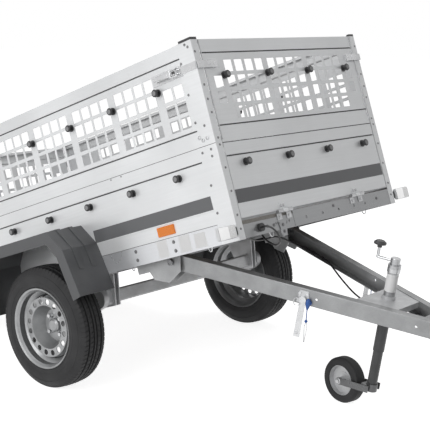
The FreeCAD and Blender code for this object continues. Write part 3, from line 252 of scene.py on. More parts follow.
@dataclass(frozen=True)
class Finish:
    """A finish that makes its material once, for every piece that shares it."""

    name: str
    tone: Colour

    def material(self) -> bpy.types.Material:
        """Gives the finish's material, and makes it on first use.

        Returns:
            The material.
        """
        found = bpy.data.materials.get(self.name)
        if found is None:
            surface = Surface(self.name)
            self.lay(surface)
            found = surface.material
        return found

    def lay(self, s: Surface) -> None:
        """Lays the finish on a new surface."""
        raise NotImplementedError

    def shade(self, share: float, lift: float = 0.0) -> Colour:
        """The tone times a share, raised by a lift."""
        return tuple(min(1.0, part * share + lift) for part in self.tone)


@dataclass(frozen=True)
class CoatedSheet(Finish):
    """Zinc-aluminium coated sheet with a faint crystal pattern and rolling streaks."""

    metal: float = 0.35
    roughness: Pair = (0.34, 0.5)
    spangle: float = 210
    spangle_share: float = 0.05
    spangle_dullness: float = 0.04
    clouds: float = 3.2
    streaks: float = 5
    streak_stretch: Point = (0.7, 0.7, 26)
    streak_share: float = 0.22
    waves: float = 9
    wave_depth: float = 0.0015

    def lay(self, s: Surface) -> None:
        """Lays the coating: clouds, crystals and streaks along the sheet.

        Args:
            s: The surface.
        """
        place = s.coordinates(BOX)
        crystals = s.node("TexVoronoi", Vector=place, Scale=self.spangle).outputs["Color"]
        spangle = s.node("SeparateColor", Color=crystals).outputs["Red"]
        cloud = s.patches(place, self.clouds, 3, 0.3, 0.7)
        line = s.patches(s.coordinates(BOX, self.streak_stretch), self.streaks, 4, 0.35, 0.65)
        base = s.blend(cloud, self.shade(0.93), self.shade(1.045))
        lined = s.blend(s.calc("MULTIPLY", line, self.streak_share), base, self.shade(0.86))
        dull = s.calc("ADD", s.calc("MULTIPLY", spangle, self.spangle_dullness), cloud)
        s.set(Metallic=self.metal, Roughness=s.ramp(dull, 0, 1.1, *self.roughness),
              Base_Color=s.blend(s.calc("MULTIPLY", spangle, self.spangle_share), lined, self.shade(0.8)))
        s.grain(place, self.waves, 0.12, self.wave_depth)


@dataclass(frozen=True)
class PlatedSteel(Finish):
    """Zinc plated or drawn steel with fine drawing lines along one axis."""

    metal: float = 0.8
    roughness: Pair = (0.24, 0.42)
    lines: Point = (2, 40, 40)
    line_scale: float = 9
    line_share: float = 0.3
    patch_scale: float = 14
    grain_scale: float = 160
    grain_depth: float = 0.0004

    def lay(self, s: Surface) -> None:
        """Lays the plating: drawing lines, dull patches and a fine grain.

        Args:
            s: The surface.
        """
        place = s.coordinates(BAR)
        drawn = s.noise(s.coordinates(BAR, self.lines), self.line_scale, 5)
        patch = s.patches(place, self.patch_scale)
        smooth, rough = self.roughness
        base = s.blend(patch, self.shade(0.86), self.shade(1.06))
        s.set(Metallic=self.metal, Roughness=s.ramp(patch, 0, 1, rough, smooth),
              Base_Color=s.blend(s.ramp(drawn, 0.4, 0.68, 0, self.line_share), base, self.shade(0.7)))
        s.grain(place, self.grain_scale, 0.1, self.grain_depth)


@dataclass(frozen=True)
class Moulded(Finish):
    """Moulded plastic, rubber, paint or film with a fine grain."""

    roughness: float = 0.5
    grain: float = 300
    relief: float = 0.25
    dust: float = 0.12
    cloud_scale: float = 11
    grain_depth: float = 0.0003

    def lay(self, s: Surface) -> None:
        """Lays the moulding: grain, slight changes of shine and dust.

        Args:
            s: The surface.
        """
        place = s.coordinates()
        cloud = s.patches(place, self.cloud_scale)
        dust = s.calc("MULTIPLY", cloud, self.dust * 4)
        s.set(Metallic=0, Base_Color=s.blend(dust, self.tone, self.shade(1, 0.045)),
              Roughness=s.ramp(cloud, 0, 1, self.roughness - 0.07, self.roughness + 0.09))
        s.grain(place, self.grain, self.relief, self.grain_depth)


@dataclass(frozen=True)
class Lens(Finish):
    """Lamp lens or reflector with a field of small prisms, and a painted glow that lifts it out of shade though it is
    unlit.
    """

    prism: float = 210
    # Strength of the painted light that the unlit lens gives off.
    painted_glow: float = 0
    coat: float = 0.6
    prism_depth: float = 0.0006

    def lay(self, s: Surface) -> None:
        """Lays the lens: clear coat over a prism field.

        Args:
            s: The surface.
        """
        s.set(Metallic=0, Roughness=0.14, Coat_Weight=self.coat, Coat_Roughness=0.05)
        # Painted light: the unlit lens or reflector glows a little, to brighten it where it lies in shade.
        if self.painted_glow:
            s.set(Emission_Color=self.tone, Emission_Strength=self.painted_glow)
        cells = s.node("TexVoronoi", Vector=s.coordinates(), Scale=self.prism)
        edge = s.ramp(cells.outputs["Distance"], 0, 0.6)
        s.set(Base_Color=s.blend(edge, self.shade(1.08), self.shade(0.8)))
        s.bump(edge, 0.3, self.prism_depth)


@dataclass(frozen=True)
class Plywood(Finish):
    """Plywood board: a film of the main tone above and below, and thin layers on its edges."""

    pale_layer: Colour = (0.46, 0.44, 0.41)
    dark_layer: Colour = (0.15, 0.135, 0.12)
    layer: float = 0.00215
    fibre_stretch: Point = (3, 60, 60)
    fibre_scale: float = 22
    fibre_depth: float = 0.0006

    def lay(self, s: Surface) -> None:
        """Lays the board: edge layers by height and a grained film on the faces.

        Args:
            s: The surface.
        """
        height = s.node("SeparateXYZ", Vector=s.coordinates(BOX)).outputs["Z"]
        wave = s.calc("SINE", s.calc("MULTIPLY", height, 2 * math.pi / self.layer))
        edge = s.blend(s.ramp(wave, -0.5, 0.5), self.dark_layer, self.pale_layer)
        fibre = s.noise(s.coordinates(BOX, self.fibre_stretch), self.fibre_scale, 6)
        face = s.blend(s.ramp(fibre, 0.35, 0.7), self.shade(0.72), self.tone)
        normal = s.node("NewGeometry").outputs["Normal"]
        upright = s.feed(s.node("VectorMath", operation="DOT_PRODUCT"), {0: normal, 1: BOX.along(0, 0, 1)})
        flat = s.ramp(s.calc("ABSOLUTE", upright.outputs["Value"]), 0.5, 0.7)
        s.set(Metallic=0, Base_Color=s.blend(flat, edge, face), Roughness=s.ramp(fibre, 0.3, 0.7, 0.42, 0.62))
        s.bump(fibre, 0.18, self.fibre_depth)


@dataclass(frozen=True)
class TwoPartTube(Finish):
    """Jockey tube: plated in the main tone above a height of the drawbar frame, near black below it."""

    below: Colour = (0.035, 0.036, 0.038)
    limit: float = 0.028
    limit_blur: float = 0.001
    patch_scale: float = 30
    grain_scale: float = 220
    grain_depth: float = 0.0003

    def lay(self, s: Surface) -> None:
        """Lays the two tones with a crisp line between them.

        Args:
            s: The surface.
        """
        place = s.coordinates(BAR)
        height = s.node("SeparateXYZ", Vector=place).outputs["Z"]
        upper = s.ramp(height, self.limit, self.limit + self.limit_blur)
        patch = s.patches(place, self.patch_scale)
        plated = s.blend(patch, self.shade(0.84), self.tone)
        coated = s.blend(patch, self.below, tuple(part * 1.35 for part in self.below))
        s.set(Base_Color=s.blend(upper, coated, plated), Metallic=s.ramp(upper, 0, 1, 0.1, 0.85),
              Roughness=s.ramp(patch, 0, 1, 0.4, 0.3))
        s.grain(place, self.grain_scale, 0.12, self.grain_depth)


SHEET = CoatedSheet("sheet_bright", (0.77, 0.78, 0.79))
FRAME_STEEL = CoatedSheet("rail_coating", (0.66, 0.67, 0.69), metal=0.6, roughness=(0.26, 0.44), spangle=150)
# Painted reflection: the end members' zinc is made much darker than the rails' to stand in for the dark reflection in
# their sheet.
MEMBER_STEEL = CoatedSheet("member_zinc_painted_reflection", (0.30, 0.304, 0.31), metal=0.75, roughness=(0.22, 0.36), spangle=150)
BEAM_STEEL = PlatedSteel("beam_steel", (0.35, 0.355, 0.36), metal=0.45, roughness=(0.3, 0.46))
FORK_STEEL = PlatedSteel("fork_steel", (0.15, 0.152, 0.156), metal=0.5)
ZINC = PlatedSteel("zinc_plate", (0.50, 0.505, 0.515), lines=(18, 18, 3))
AXLE_STEEL = PlatedSteel("axle_zinc", (0.60, 0.605, 0.615), metal=0.4, roughness=(0.36, 0.55), lines=(30, 3, 30))
RIM_PAINT = PlatedSteel("rim_paint", (0.34, 0.345, 0.35), metal=0.7, roughness=(0.3, 0.42), lines=(6, 6, 6))
RIVET_STEEL = PlatedSteel("rivet_steel", (0.20, 0.20, 0.205), lines=(20, 20, 20))
LATCH_STEEL = PlatedSteel("latch_zinc", (0.66, 0.665, 0.675), metal=0.65, roughness=(0.2, 0.34), lines=(20, 20, 20))
BRIGHT = PlatedSteel("bright_zinc", (0.56, 0.565, 0.575), roughness=(0.16, 0.3), lines=(20, 20, 20))
JOCKEY_COAT = TwoPartTube("jockey_coat", (0.44, 0.445, 0.455))
DARK_COAT = Moulded("dark_coat", (0.035, 0.036, 0.038), roughness=0.38, relief=0.1)
BLACK_PLASTIC = Moulded("black_moulding", (0.026, 0.026, 0.028), roughness=0.42, grain=900)
GUARD_PLASTIC = Moulded("guard_plastic", (0.075, 0.077, 0.081), roughness=0.52, grain=700, relief=0.3)
LAMP_HOUSING = Moulded("lamp_housing", (0.70, 0.71, 0.72), roughness=0.35, grain=500, relief=0.05)
KNOB_CENTRE = Moulded("knob_centre", (0.26, 0.26, 0.265), roughness=0.4, grain=900)
CABLE_RUBBER = Moulded("cable_rubber", (0.014, 0.014, 0.015), roughness=0.4, grain=500, relief=0.1)
TYRE_RUBBER = Moulded("tyre_rubber", (0.008, 0.008, 0.009), roughness=0.7, grain=420, relief=0.3, dust=0.03)
STRIPE_FILM = Moulded("stripe_film", (0.125, 0.128, 0.134), roughness=0.4, relief=0.04, dust=0.05)
LABEL_FILM = Moulded("label_film", (0.76, 0.76, 0.76), roughness=0.35, relief=0.03, dust=0.1)
WHITE_LABEL = Moulded("white_label", (0.93, 0.93, 0.93), roughness=0.3, relief=0.03, dust=0.05)
BLUE_COAT = Moulded("blue_coat", (0.02, 0.11, 0.42), roughness=0.3, relief=0.05, dust=0.05)
# Painted shade: near black for the strips that stand in for the shade in grooves, seams, gaps and the latches'
# hollows.
SEAM_SHADE = Moulded("seam_shade", (0.06, 0.06, 0.062), roughness=0.7, relief=0.05, dust=0.02)
# Painted light: these lenses and the amber reflector glow a little though the lamps are off.
WHITE_LENS = Lens("white_prisms", (0.96, 0.96, 0.96), painted_glow=0.5)
CLEAR_LENS = Lens("clear_prisms", (0.90, 0.90, 0.90), painted_glow=0.25)
AMBER_LENS = Lens("amber_prisms", (0.86, 0.22, 0.0), prism=330, painted_glow=0.1, coat=0)
RED_LENS = Lens("red_prisms", (0.55, 0.012, 0.012), prism=300)
FLOOR_BOARD = Plywood("floor_board", (0.085, 0.062, 0.05))

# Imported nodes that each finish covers.
CAD_FINISHES: tuple[tuple[Finish, str], ...] = (
    (SHEET, "corner_posts mesh_posts side_boards side_mesh front_board rear_board front_mesh rear_mesh"),
    (FRAME_STEEL, "side_rails cross_hats"),
    (MEMBER_STEEL, "end_members"),
    (BEAM_STEEL, "pivot_brackets drawbar_beams nose_gussets"),
    (FORK_STEEL, "jockey_fork"),
    (ZINC, "board_hinges mesh_pins coupling_head coupling_lever bed_latch_plates jockey_clamp"),
    (AXLE_STEEL, "axle_tube axle_brackets trailing_arms cross_plate jockey_rim"),
    (RIM_PAINT, "rim_left rim_right"),
    (LATCH_STEEL, "corner_latches front_mesh_hooks rear_mesh_hooks bed_latch_handles"),
    (BRIGHT, "pivot_pins jockey_crank"),
    (JOCKEY_COAT, "jockey_tube"),
    (DARK_COAT, "lamp_stubs jockey_inner_tube"),
    (BLACK_PLASTIC, "post_caps side_knobs rear_lamps front_board_knobs rear_board_knobs front_mesh_knobs "
                    "rear_mesh_knobs crank_knob drawbar_clips plug"),
    (GUARD_PLASTIC, "mudguards"),
    (LAMP_HOUSING, "front_lamps"),
    (CABLE_RUBBER, "cable_guides box_cable drawbar_cable"),
    (TYRE_RUBBER, "tyre_left tyre_right jockey_tyre"),
    (BLUE_COAT, "bed_latch_clips"),
    (AMBER_LENS, "side_reflectors"),
    (FLOOR_BOARD, "floor_panel"),
)


class Piece:
    """Mesh of one dressed piece, drawn in millimetres in a frame of the trailer."""

    # Corners of each side of a block, with the corners in rising order of X, then Y, then Z.
    BLOCK_SIDES = ((0, 1, 3, 2), (4, 6, 7, 5), (0, 4, 5, 1), (2, 3, 7, 6), (0, 2, 6, 4), (1, 5, 7, 3))

    def __init__(self, name: str, stand: Stand = BOX) -> None:
        """Starts an empty mesh.

        Args:
            name: Name of the piece.
            stand: Frame in which its points are given.
        """
        self.name = name
        self.stand = stand
        self.mesh = bmesh.new()

    def skin(self, rings: list[list[Point]], joined: bool = False) -> None:
        """Covers a row of rings with faces.

        Args:
            rings: Rings of the same number of points, one after the other.
            joined: Whether the last ring meets the first one; both are closed if not.
        """
        rows = [[self.mesh.verts.new(self.stand.at(*point)) for point in ring] for ring in rings]
        pairs = list(zip(rows, rows[1:]))
        if joined:
            pairs.append((rows[-1], rows[0]))
        else:
            self.mesh.faces.new(rows[0])
            self.mesh.faces.new(rows[-1])
        for low, high in pairs:
            for i, corner in enumerate(low):
                after = (i + 1) % len(low)
                self.mesh.faces.new((corner, low[after], high[after], high[i]))

    def turned(self, foot: Point, way: Point, profile: Profile, sides: int, phase: float = 0.0) -> None:
        """Adds a round or many-sided body on an axis.

        Args:
            foot: Start of the axis.
            way: Direction of the axis.
            profile: Radius and height pairs from the foot up.
            sides: Number of sides.
            phase: Turn of the first side, in degrees.
        """
        axis = Vector(way).normalized()
        first = axis.orthogonal().normalized()
        second = axis.cross(first)
        turns = [first * cosine + second * sine for cosine, sine in circle(sides, phase)]
        self.skin([[tuple(Vector(foot) + axis * height + turn * radius) for turn in turns]
                   for radius, height in profile])

    def bolt(self, foot: Point, way: Point, size: Point) -> None:
        """Adds a hexagon head on a washer.

        Args:
            foot: Middle of the washer's underside.
            way: Direction in which the head stands out.
            size: Width across the flats, height of the head and radius of the washer.
        """
        across, height, washer = size
        half = across / math.sqrt(3)
        self.turned(foot, way, ((washer, -0.2), (washer, 1.2), (washer - 0.7, 1.7)), 24)
        self.turned(foot, way, ((half, 1.5), (half, height * 0.86), (half * 0.88, height)), 6, 17)

    def rivet(self, foot: Point, way: Point, size: Pair) -> None:
        """Adds a round rivet head with its pressed middle.

        Args:
            foot: Middle of the head's underside.
            way: Direction in which the head stands out.
            size: Radius and height of the head.
        """
        radius, height = size
        self.turned(foot, way, ((radius, -0.2), (radius, 0.5), (radius * 0.86, height * 0.75),
                                (radius * 0.55, height), (radius * 0.42, height), (radius * 0.3, height * 0.7)), 20)

    def block(self, first: Point, last: Point, bevel: float = 0.0, steps: int = 2) -> None:
        """Adds a block with its edges rounded.

        Args:
            first: One corner.
            last: The corner opposite.
            bevel: Width of the rounding.
            steps: Number of facets across it.
        """
        x, y, z = (sorted(pair) for pair in zip(first, last))
        corners = [self.mesh.verts.new(self.stand.at(a, b, c)) for a in x for b in y for c in z]
        faces = [self.mesh.faces.new([corners[i] for i in side]) for side in self.BLOCK_SIDES]
        if bevel:
            edges = {edge for face in faces for edge in face.edges}
            bmesh.ops.bevel(self.mesh, geom=list(edges), offset=bevel * MM, segments=steps, affect="EDGES",
                            profile=0.5)

    def tube(self, route: list[Point], radius: float, sides: int = 10, joined: bool = False) -> None:
        """Adds a round bar along a route.

        Args:
            route: Points of its middle line.
            radius: Radius of the bar.
            sides: Number of sides.
            joined: Whether the route is a ring.
        """
        spots = [Vector(point) for point in route]
        last = len(spots) - 1
        side = None
        rings = []
        for i, spot in enumerate(spots):
            before = spots[i - 1] if i or joined else spot
            after = spots[(i + 1) % len(spots)] if i < last or joined else spot
            way = (after - before).normalized()
            side = way.orthogonal().normalized() if side is None else (side - way * side.dot(way)).normalized()
            over = way.cross(side)
            rings.append([tuple(spot + (side * cosine + over * sine) * radius) for cosine, sine in circle(sides)])
        self.skin(rings, joined)

    def place(self, body: Body, finish: Finish, slot: str, crease: float = 32.0) -> bpy.types.Object:
        """Turns the mesh into an object that rides on a body.

        Args:
            body: Body that carries the piece.
            finish: Its finish.
            slot: Material slot of the record that it takes after; not used.
            crease: Angle above which an edge stays sharp, in degrees.

        Returns:
            The object.
        """
        bmesh.ops.recalc_face_normals(self.mesh, faces=self.mesh.faces)
        data = bpy.data.meshes.new(self.name)
        self.mesh.to_mesh(data)
        self.mesh.free()
        data.shade_smooth()
        data.set_sharp_from_angle(angle=math.radians(crease))
        data.materials.append(finish.material())
        made = bpy.data.objects.new(self.name, data)
        bpy.context.scene.collection.objects.link(made)
        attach(made, body.value)
        LOG.info("%s: %d faces", self.name, len(data.polygons))
        return made


class Zone(Enum):
    """Zones of a tyre's section, by what the cuts of the tread do there."""

    WHOLE = "no cut"
    SHOULDER = "cuts that deepen towards the running face"
    RIB = "cuts of one depth"


@dataclass(frozen=True)
class Tread:
    """Relief of the running face: blocks to the round and the cuts between them, in shares of a block."""

    blocks: int = 78
    block_middle: float = 0.3
    cut_start: float = 0.76
    cut_wall: float = 0.05
    cut_end: float = 0.92
    slant: float = 0.0175  # To the millimetre from the middle.
    shoulder_depth: float = 2.4
    shoulder_slope: int = 4  # Points of the shoulder over which its cuts deepen.
    rib_depth: float = 2.6

    def columns(self) -> list[tuple[float, bool]]:
        """Lists the places round the tyre at which its section is set.

        Returns:
            Each place, counted in blocks, and whether it lies in a cut.
        """
        one = ((0.0, False), (self.block_middle, False), (self.cut_start, False),
               (self.cut_start + self.cut_wall, True), (self.cut_end, True), (self.cut_end + self.cut_wall, False))
        return [(block + share, in_cut) for block in range(self.blocks) for share, in_cut in one]


WHEEL_CENTRE: Point = (-266.962, 683, 273.5)


@dataclass
class RoadTyre:
    """Road tyre with ring grooves, shoulder blocks and a ringed side wall."""

    side: Side
    body: Body
    node: str
    centre: Point = WHEEL_CENTRE
    tread: Tread = Tread()
    # Radius and distance from the middle, from the bead inwards.
    zones: tuple[tuple[Zone, Profile], ...] = (
        (Zone.WHOLE, ((167, 44), (168.4, 58), (172, 62.5), (177, 66.4), (181.5, 69.3), (184.2, 70.9), (185.2, 72.4),
                      (187.6, 73.2), (190.2, 73), (191.2, 73.4), (197.9, 75.4), (203, 76.2), (203.8, 77.2),
                      (206.6, 77.6), (207.4, 77), (215, 77.6), (222, 77.2), (229, 75.9), (236.4, 74), (237.2, 74.8),
                      (240.2, 74), (240.8, 72.4), (246, 69.8))),
        (Zone.SHOULDER, ((250, 67.4), (254.2, 64.9), (258.5, 62), (262.6, 59.4), (266, 57.3), (269.4, 54.8),
                         (270.6, 50), (271.3, 43), (271.6, 38.4))),
        (Zone.WHOLE, ((271, 37.6), (264.6, 35.9), (264.6, 30.8), (271.4, 29.2), (272.2, 28.4))),
        (Zone.RIB, ((272.8, 24), (273.2, 18), (273.3, 13.2))),
        (Zone.WHOLE, ((272.8, 12.4), (266.3, 10.6), (266.3, 5.6), (273, 4), (273.5, 3.2))))

    def section(self) -> list[tuple[float, float, float]]:
        """Lists the points of the section from bead to bead.

        Returns:
            Radius, distance to the side and depth of a cut, for each point.
        """
        half = []
        for zone, points in self.zones:
            for rank, (radius, side) in enumerate(points):
                slope = min(1.0, rank / self.tread.shoulder_slope)
                depth = {Zone.WHOLE: 0.0, Zone.SHOULDER: self.tread.shoulder_depth * slope,
                         Zone.RIB: self.tread.rib_depth}[zone]
                half.append((radius, side, depth))
        return half + [(radius, -side, depth) for radius, side, depth in reversed(half)]

    def build(self) -> None:
        """Builds the tyre, hides the plain one and joins it to its wheel."""
        x, y, z = self.centre
        section = self.section()
        rings = []
        for place, in_cut in self.tread.columns():
            ring = []
            for radius, side, depth in section:
                angle = 2 * math.pi * (place + self.tread.slant * abs(side)) / self.tread.blocks
                reach = radius - depth if in_cut else radius
                ring.append((x + reach * math.sin(angle), y * self.side.value + side, z + reach * math.cos(angle)))
            rings.append(ring)
        piece = Piece("road_tyre_" + self.side.name.lower(), WORLD)
        piece.skin(rings, joined=True)
        tyre = piece.place(self.body, TYRE_RUBBER, "tyre", crease=26)
        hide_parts(self.node)


@dataclass
class RoadWheel:
    """Small parts of a road wheel: its bolts, the ring of the hub cap and the valve."""

    side: Side
    body: Body
    centre: Point = WHEEL_CENTRE
    bolt_circle: float = 50
    bolts: int = 4
    bolt_turn: float = 23
    bolt_seat: Profile = ((12.5, -0.5), (12.5, 2.5), (10.8, 5))
    bolt_head: Profile = ((10.4, 4.5), (10.4, 15.5), (9, 17.5))
    disc_face: float = -16.4
    hub_face: float = -18
    hub_ring: Profile = ((33.4, -0.5), (33.4, 2), (32.4, 3.2))
    valve_circle: float = 152
    valve_angle: float = 92
    valve_face: float = 33
    valve_lean: Pair = (0.93, 0.36)  # Shares of outwards and towards the hub.
    valve: Profile = ((6.6, -4), (6.6, 3), (4.6, 6), (4.2, 19), (5, 19.5), (5, 27), (3.6, 28.5))

    def spot(self, radius: float, degrees: float, out: float) -> Point:
        """Point of the wheel.

        Args:
            radius: Distance from its axis.
            degrees: Angle up from the front.
            out: Distance outwards from its middle.

        Returns:
            The point.
        """
        x, y, z = self.centre
        angle = math.radians(degrees)
        return (x + radius * math.cos(angle), self.side.value * (y + out), z + radius * math.sin(angle))

    def build(self) -> None:
        """Builds the small parts and joins them to the wheel."""
        out = self.side.out
        name = self.side.name.lower()
        bolts = Piece("wheel_bolts_" + name, WORLD)
        for i in range(self.bolts):
            foot = self.spot(self.bolt_circle, 45 + 360 / self.bolts * i, self.disc_face)
            bolts.turned(foot, out, self.bolt_seat, 28)
            bolts.turned(foot, out, self.bolt_head, 6, 10 + self.bolt_turn * i)
        bolts.place(self.body, BRIGHT, "rim")
        cap = Piece("hub_ring_" + name, WORLD)
        cap.turned(self.spot(0, 0, self.hub_face), out, self.hub_ring, 64)
        cap.place(self.body, BRIGHT, "rim")
        valve = Piece("valve_" + name, WORLD)
        inward = Vector(self.spot(0, 0, 0)) - Vector(self.spot(self.valve_circle, self.valve_angle, 0))
        lean = Vector(out) * self.valve_lean[0] + inward.normalized() * self.valve_lean[1]
        valve.turned(self.spot(self.valve_circle, self.valve_angle, self.valve_face), tuple(lean), self.valve, 20)
        valve.place(self.body, BLACK_PLASTIC, "tyre")


@dataclass(frozen=True)
class Box:
    """Sizes of the tipping box that its small parts share, in its own frame."""

    length: float = 2134
    half_width: float = 572.5
    skin: float = 570
    seam: float = 391
    front_skin: float = -1.5
    panel_half: float = 530.5

    def at(self, end: End, spot: Point) -> Point:
        """A point of the front end, or its mirror image at the rear."""
        return spot if end is End.FRONT else (-self.length - spot[0], spot[1], spot[2])


BED = Box()


@dataclass
class CreaseShades:
    """Painted shade: near black strips on the floors of the pressed grooves and in the seams between the sheets."""

    groove_half: float = 2.3
    groove_top: float = 0.5
    groove_floor: float = 2.4
    board_groove: float = 333
    mesh_grooves: Pair = (457, 751)
    end_gap: float = 8
    side_gap: float = 3
    seam_half: float = 1
    seam_depth: float = 0.4
    seam_proud: float = 0.35
    sill: float = 80
    sill_proud: float = 0.3
    post_middle: float = 47
    post_half: float = 46.5
    # Painted shade in the seam of the front member's cover.
    cover_seam: tuple[Point, Point] = ((-2.7, -206.9, 3), (-2.3, -205.1, 71))

    def sides(self) -> None:
        """Builds the strips of the box sides and of the front member's cover."""
        rows = [(height, self.groove_half, -self.groove_floor, -self.groove_top)
                for height in (self.board_groove, *self.mesh_grooves)]
        rows += [(BED.seam, self.seam_half, -self.seam_depth, self.seam_proud),
                 (self.sill, self.seam_half, -self.seam_depth, self.sill_proud)]
        sides = Piece("side_crease_shades")
        for side in Side:
            for height, half, low, high in rows:
                sides.block((self.side_gap - BED.length, side.value * (BED.skin + low), height - half),
                            (-self.side_gap, side.value * (BED.skin + high), height + half))
        for side, end in CORNERS:
            x, y, z = BED.at(end, (-self.post_middle, side.value * BED.half_width, BED.seam))
            sides.block((x - self.post_half, y - self.seam_proud, z - self.seam_half),
                        (x + self.post_half, y + self.seam_proud, z + self.seam_half))
        sides.block(*self.cover_seam)
        sides.place(Body.BED, SEAM_SHADE, "sheet")

    def build(self) -> None:
        """Builds the strips and joins them to the panels that they lie in."""
        self.sides()
        half = BED.panel_half - self.end_gap
        for bodies, heights in ((BOARDS, (self.board_groove,)), (MESHES, self.mesh_grooves)):
            for end, body in bodies.items():
                strip = Piece(body.value + "_crease_shade")
                for height in heights:
                    strip.block(
                        BED.at(end, (BED.front_skin - self.groove_floor, -half, height - self.groove_half)),
                        BED.at(end, (BED.front_skin - self.groove_top, half, height + self.groove_half)))
                strip.place(body, SEAM_SHADE, "sheet")


@dataclass
class EndMesh:
    """Small parts of an end: the mesh's weather lip and edge folds, the hooks' rivets, and a near black strip at the
    board's rim that paints the shade in the gap below the lip.
    """

    end: End
    lip: Pair = (389.6, 399.2)
    lip_depth: Pair = (-1.5, 0)
    # Heights and depth of the board's rim strip, which is painted shade in the gap between board and mesh.
    rim: Pair = (385.8, 389.2)
    rim_depth: Pair = (-3, -1.5)
    fold_side: float = 528
    fold_face: float = -0.6
    fold_heights: tuple[float, ...] = (400.5, 540, 680, 804)
    fold_radius: float = 2.4
    hook_sides: Pair = (471, 505)
    hook_face: float = 8.5
    hook_height: float = 704
    hook_rivet: Pair = (6, 2.2)

    def strip(self, name: str, body: Body, finish: Finish, depth: Pair, height: Pair) -> None:
        """Builds a strip across the end.

        Args:
            name: Name of the piece.
            body: Body that carries it.
            finish: Its finish.
            depth: Its two faces, as places along the box.
            height: Its lower and upper edge.
        """
        piece = Piece(name)
        piece.block(BED.at(self.end, (depth[0], -BED.panel_half, height[0])),
                    BED.at(self.end, (depth[1], BED.panel_half, height[1])))
        piece.place(body, finish, "sheet")

    def build(self) -> None:
        """Builds the lip, the rim, the folds and the rivets."""
        mesh, board = MESHES[self.end], BOARDS[self.end]
        self.strip(mesh.value + "_lip", mesh, SHEET, self.lip_depth, self.lip)
        # Painted shade: the board's rim strip is near black, for the shade in the gap below the mesh's lip.
        self.strip(board.value + "_rim", board, SEAM_SHADE, self.rim_depth, self.rim)
        folds = Piece(mesh.value + "_folds")
        rivets = Piece(mesh.value + "_hook_rivets")
        for side in Side:
            folds.tube([BED.at(self.end, (self.fold_face, side.value * self.fold_side, height))
                        for height in self.fold_heights], self.fold_radius)
            for place in self.hook_sides:
                spot = BED.at(self.end, (self.hook_face, side.value * place, self.hook_height))
                rivets.rivet(spot, self.end.out, self.hook_rivet)
        folds.place(mesh, BRIGHT, "sheet")
        rivets.place(mesh, BRIGHT, "zinc")


@dataclass
class Stickers:
    """Dark stripes round the box, the ridge below them and bare label films on the sill."""

    low: float = 142
    high: float = 197
    start: float = 97
    end: float = 812
    inset: float = 0.1
    film: float = 0.3
    front_gap: float = 1.5
    ridge: tuple[Pair, ...] = ((-99, 137), (-450, 137), (-812, 137))
    ridge_depth: float = 0.6
    ridge_radius: float = 2
    label_film: float = 0.25
    # Near, far, low and high edge of each label.
    labels: tuple[tuple[float, float, float, float], ...] = (
        (392, 451, 7, 77), (261, 322, 8, 76), (173, 235, 10, 68))

    def build(self) -> None:
        """Builds the films and the ridges."""
        stripes = Piece("side_stripes")
        ridges = Piece("side_stripe_ridges")
        for side in Side:
            stripes.block((-self.end, side.value * (BED.skin - self.inset), self.low),
                          (-self.start, side.value * (BED.skin + self.film), self.high))
            ridges.tube([(x, side.value * (BED.skin - self.ridge_depth), z) for x, z in self.ridge],
                        self.ridge_radius)
        stripes.place(Body.BED, STRIPE_FILM, "sheet")
        ridges.place(Body.BED, SHEET, "sheet")
        front = Piece("front_stripe")
        half = BED.panel_half - self.front_gap
        front.block((BED.front_skin - self.inset, -half, self.low), (BED.front_skin + self.film, half, self.high))
        front.place(Body.FRONT_BOARD, STRIPE_FILM, "sheet")
        labels = Piece("sill_labels")
        for near, far, low, high in self.labels:
            labels.block((-far, -BED.skin - self.label_film, low), (-near, -BED.skin + self.inset, high))
        labels.place(Body.BED, LABEL_FILM, "sheet")


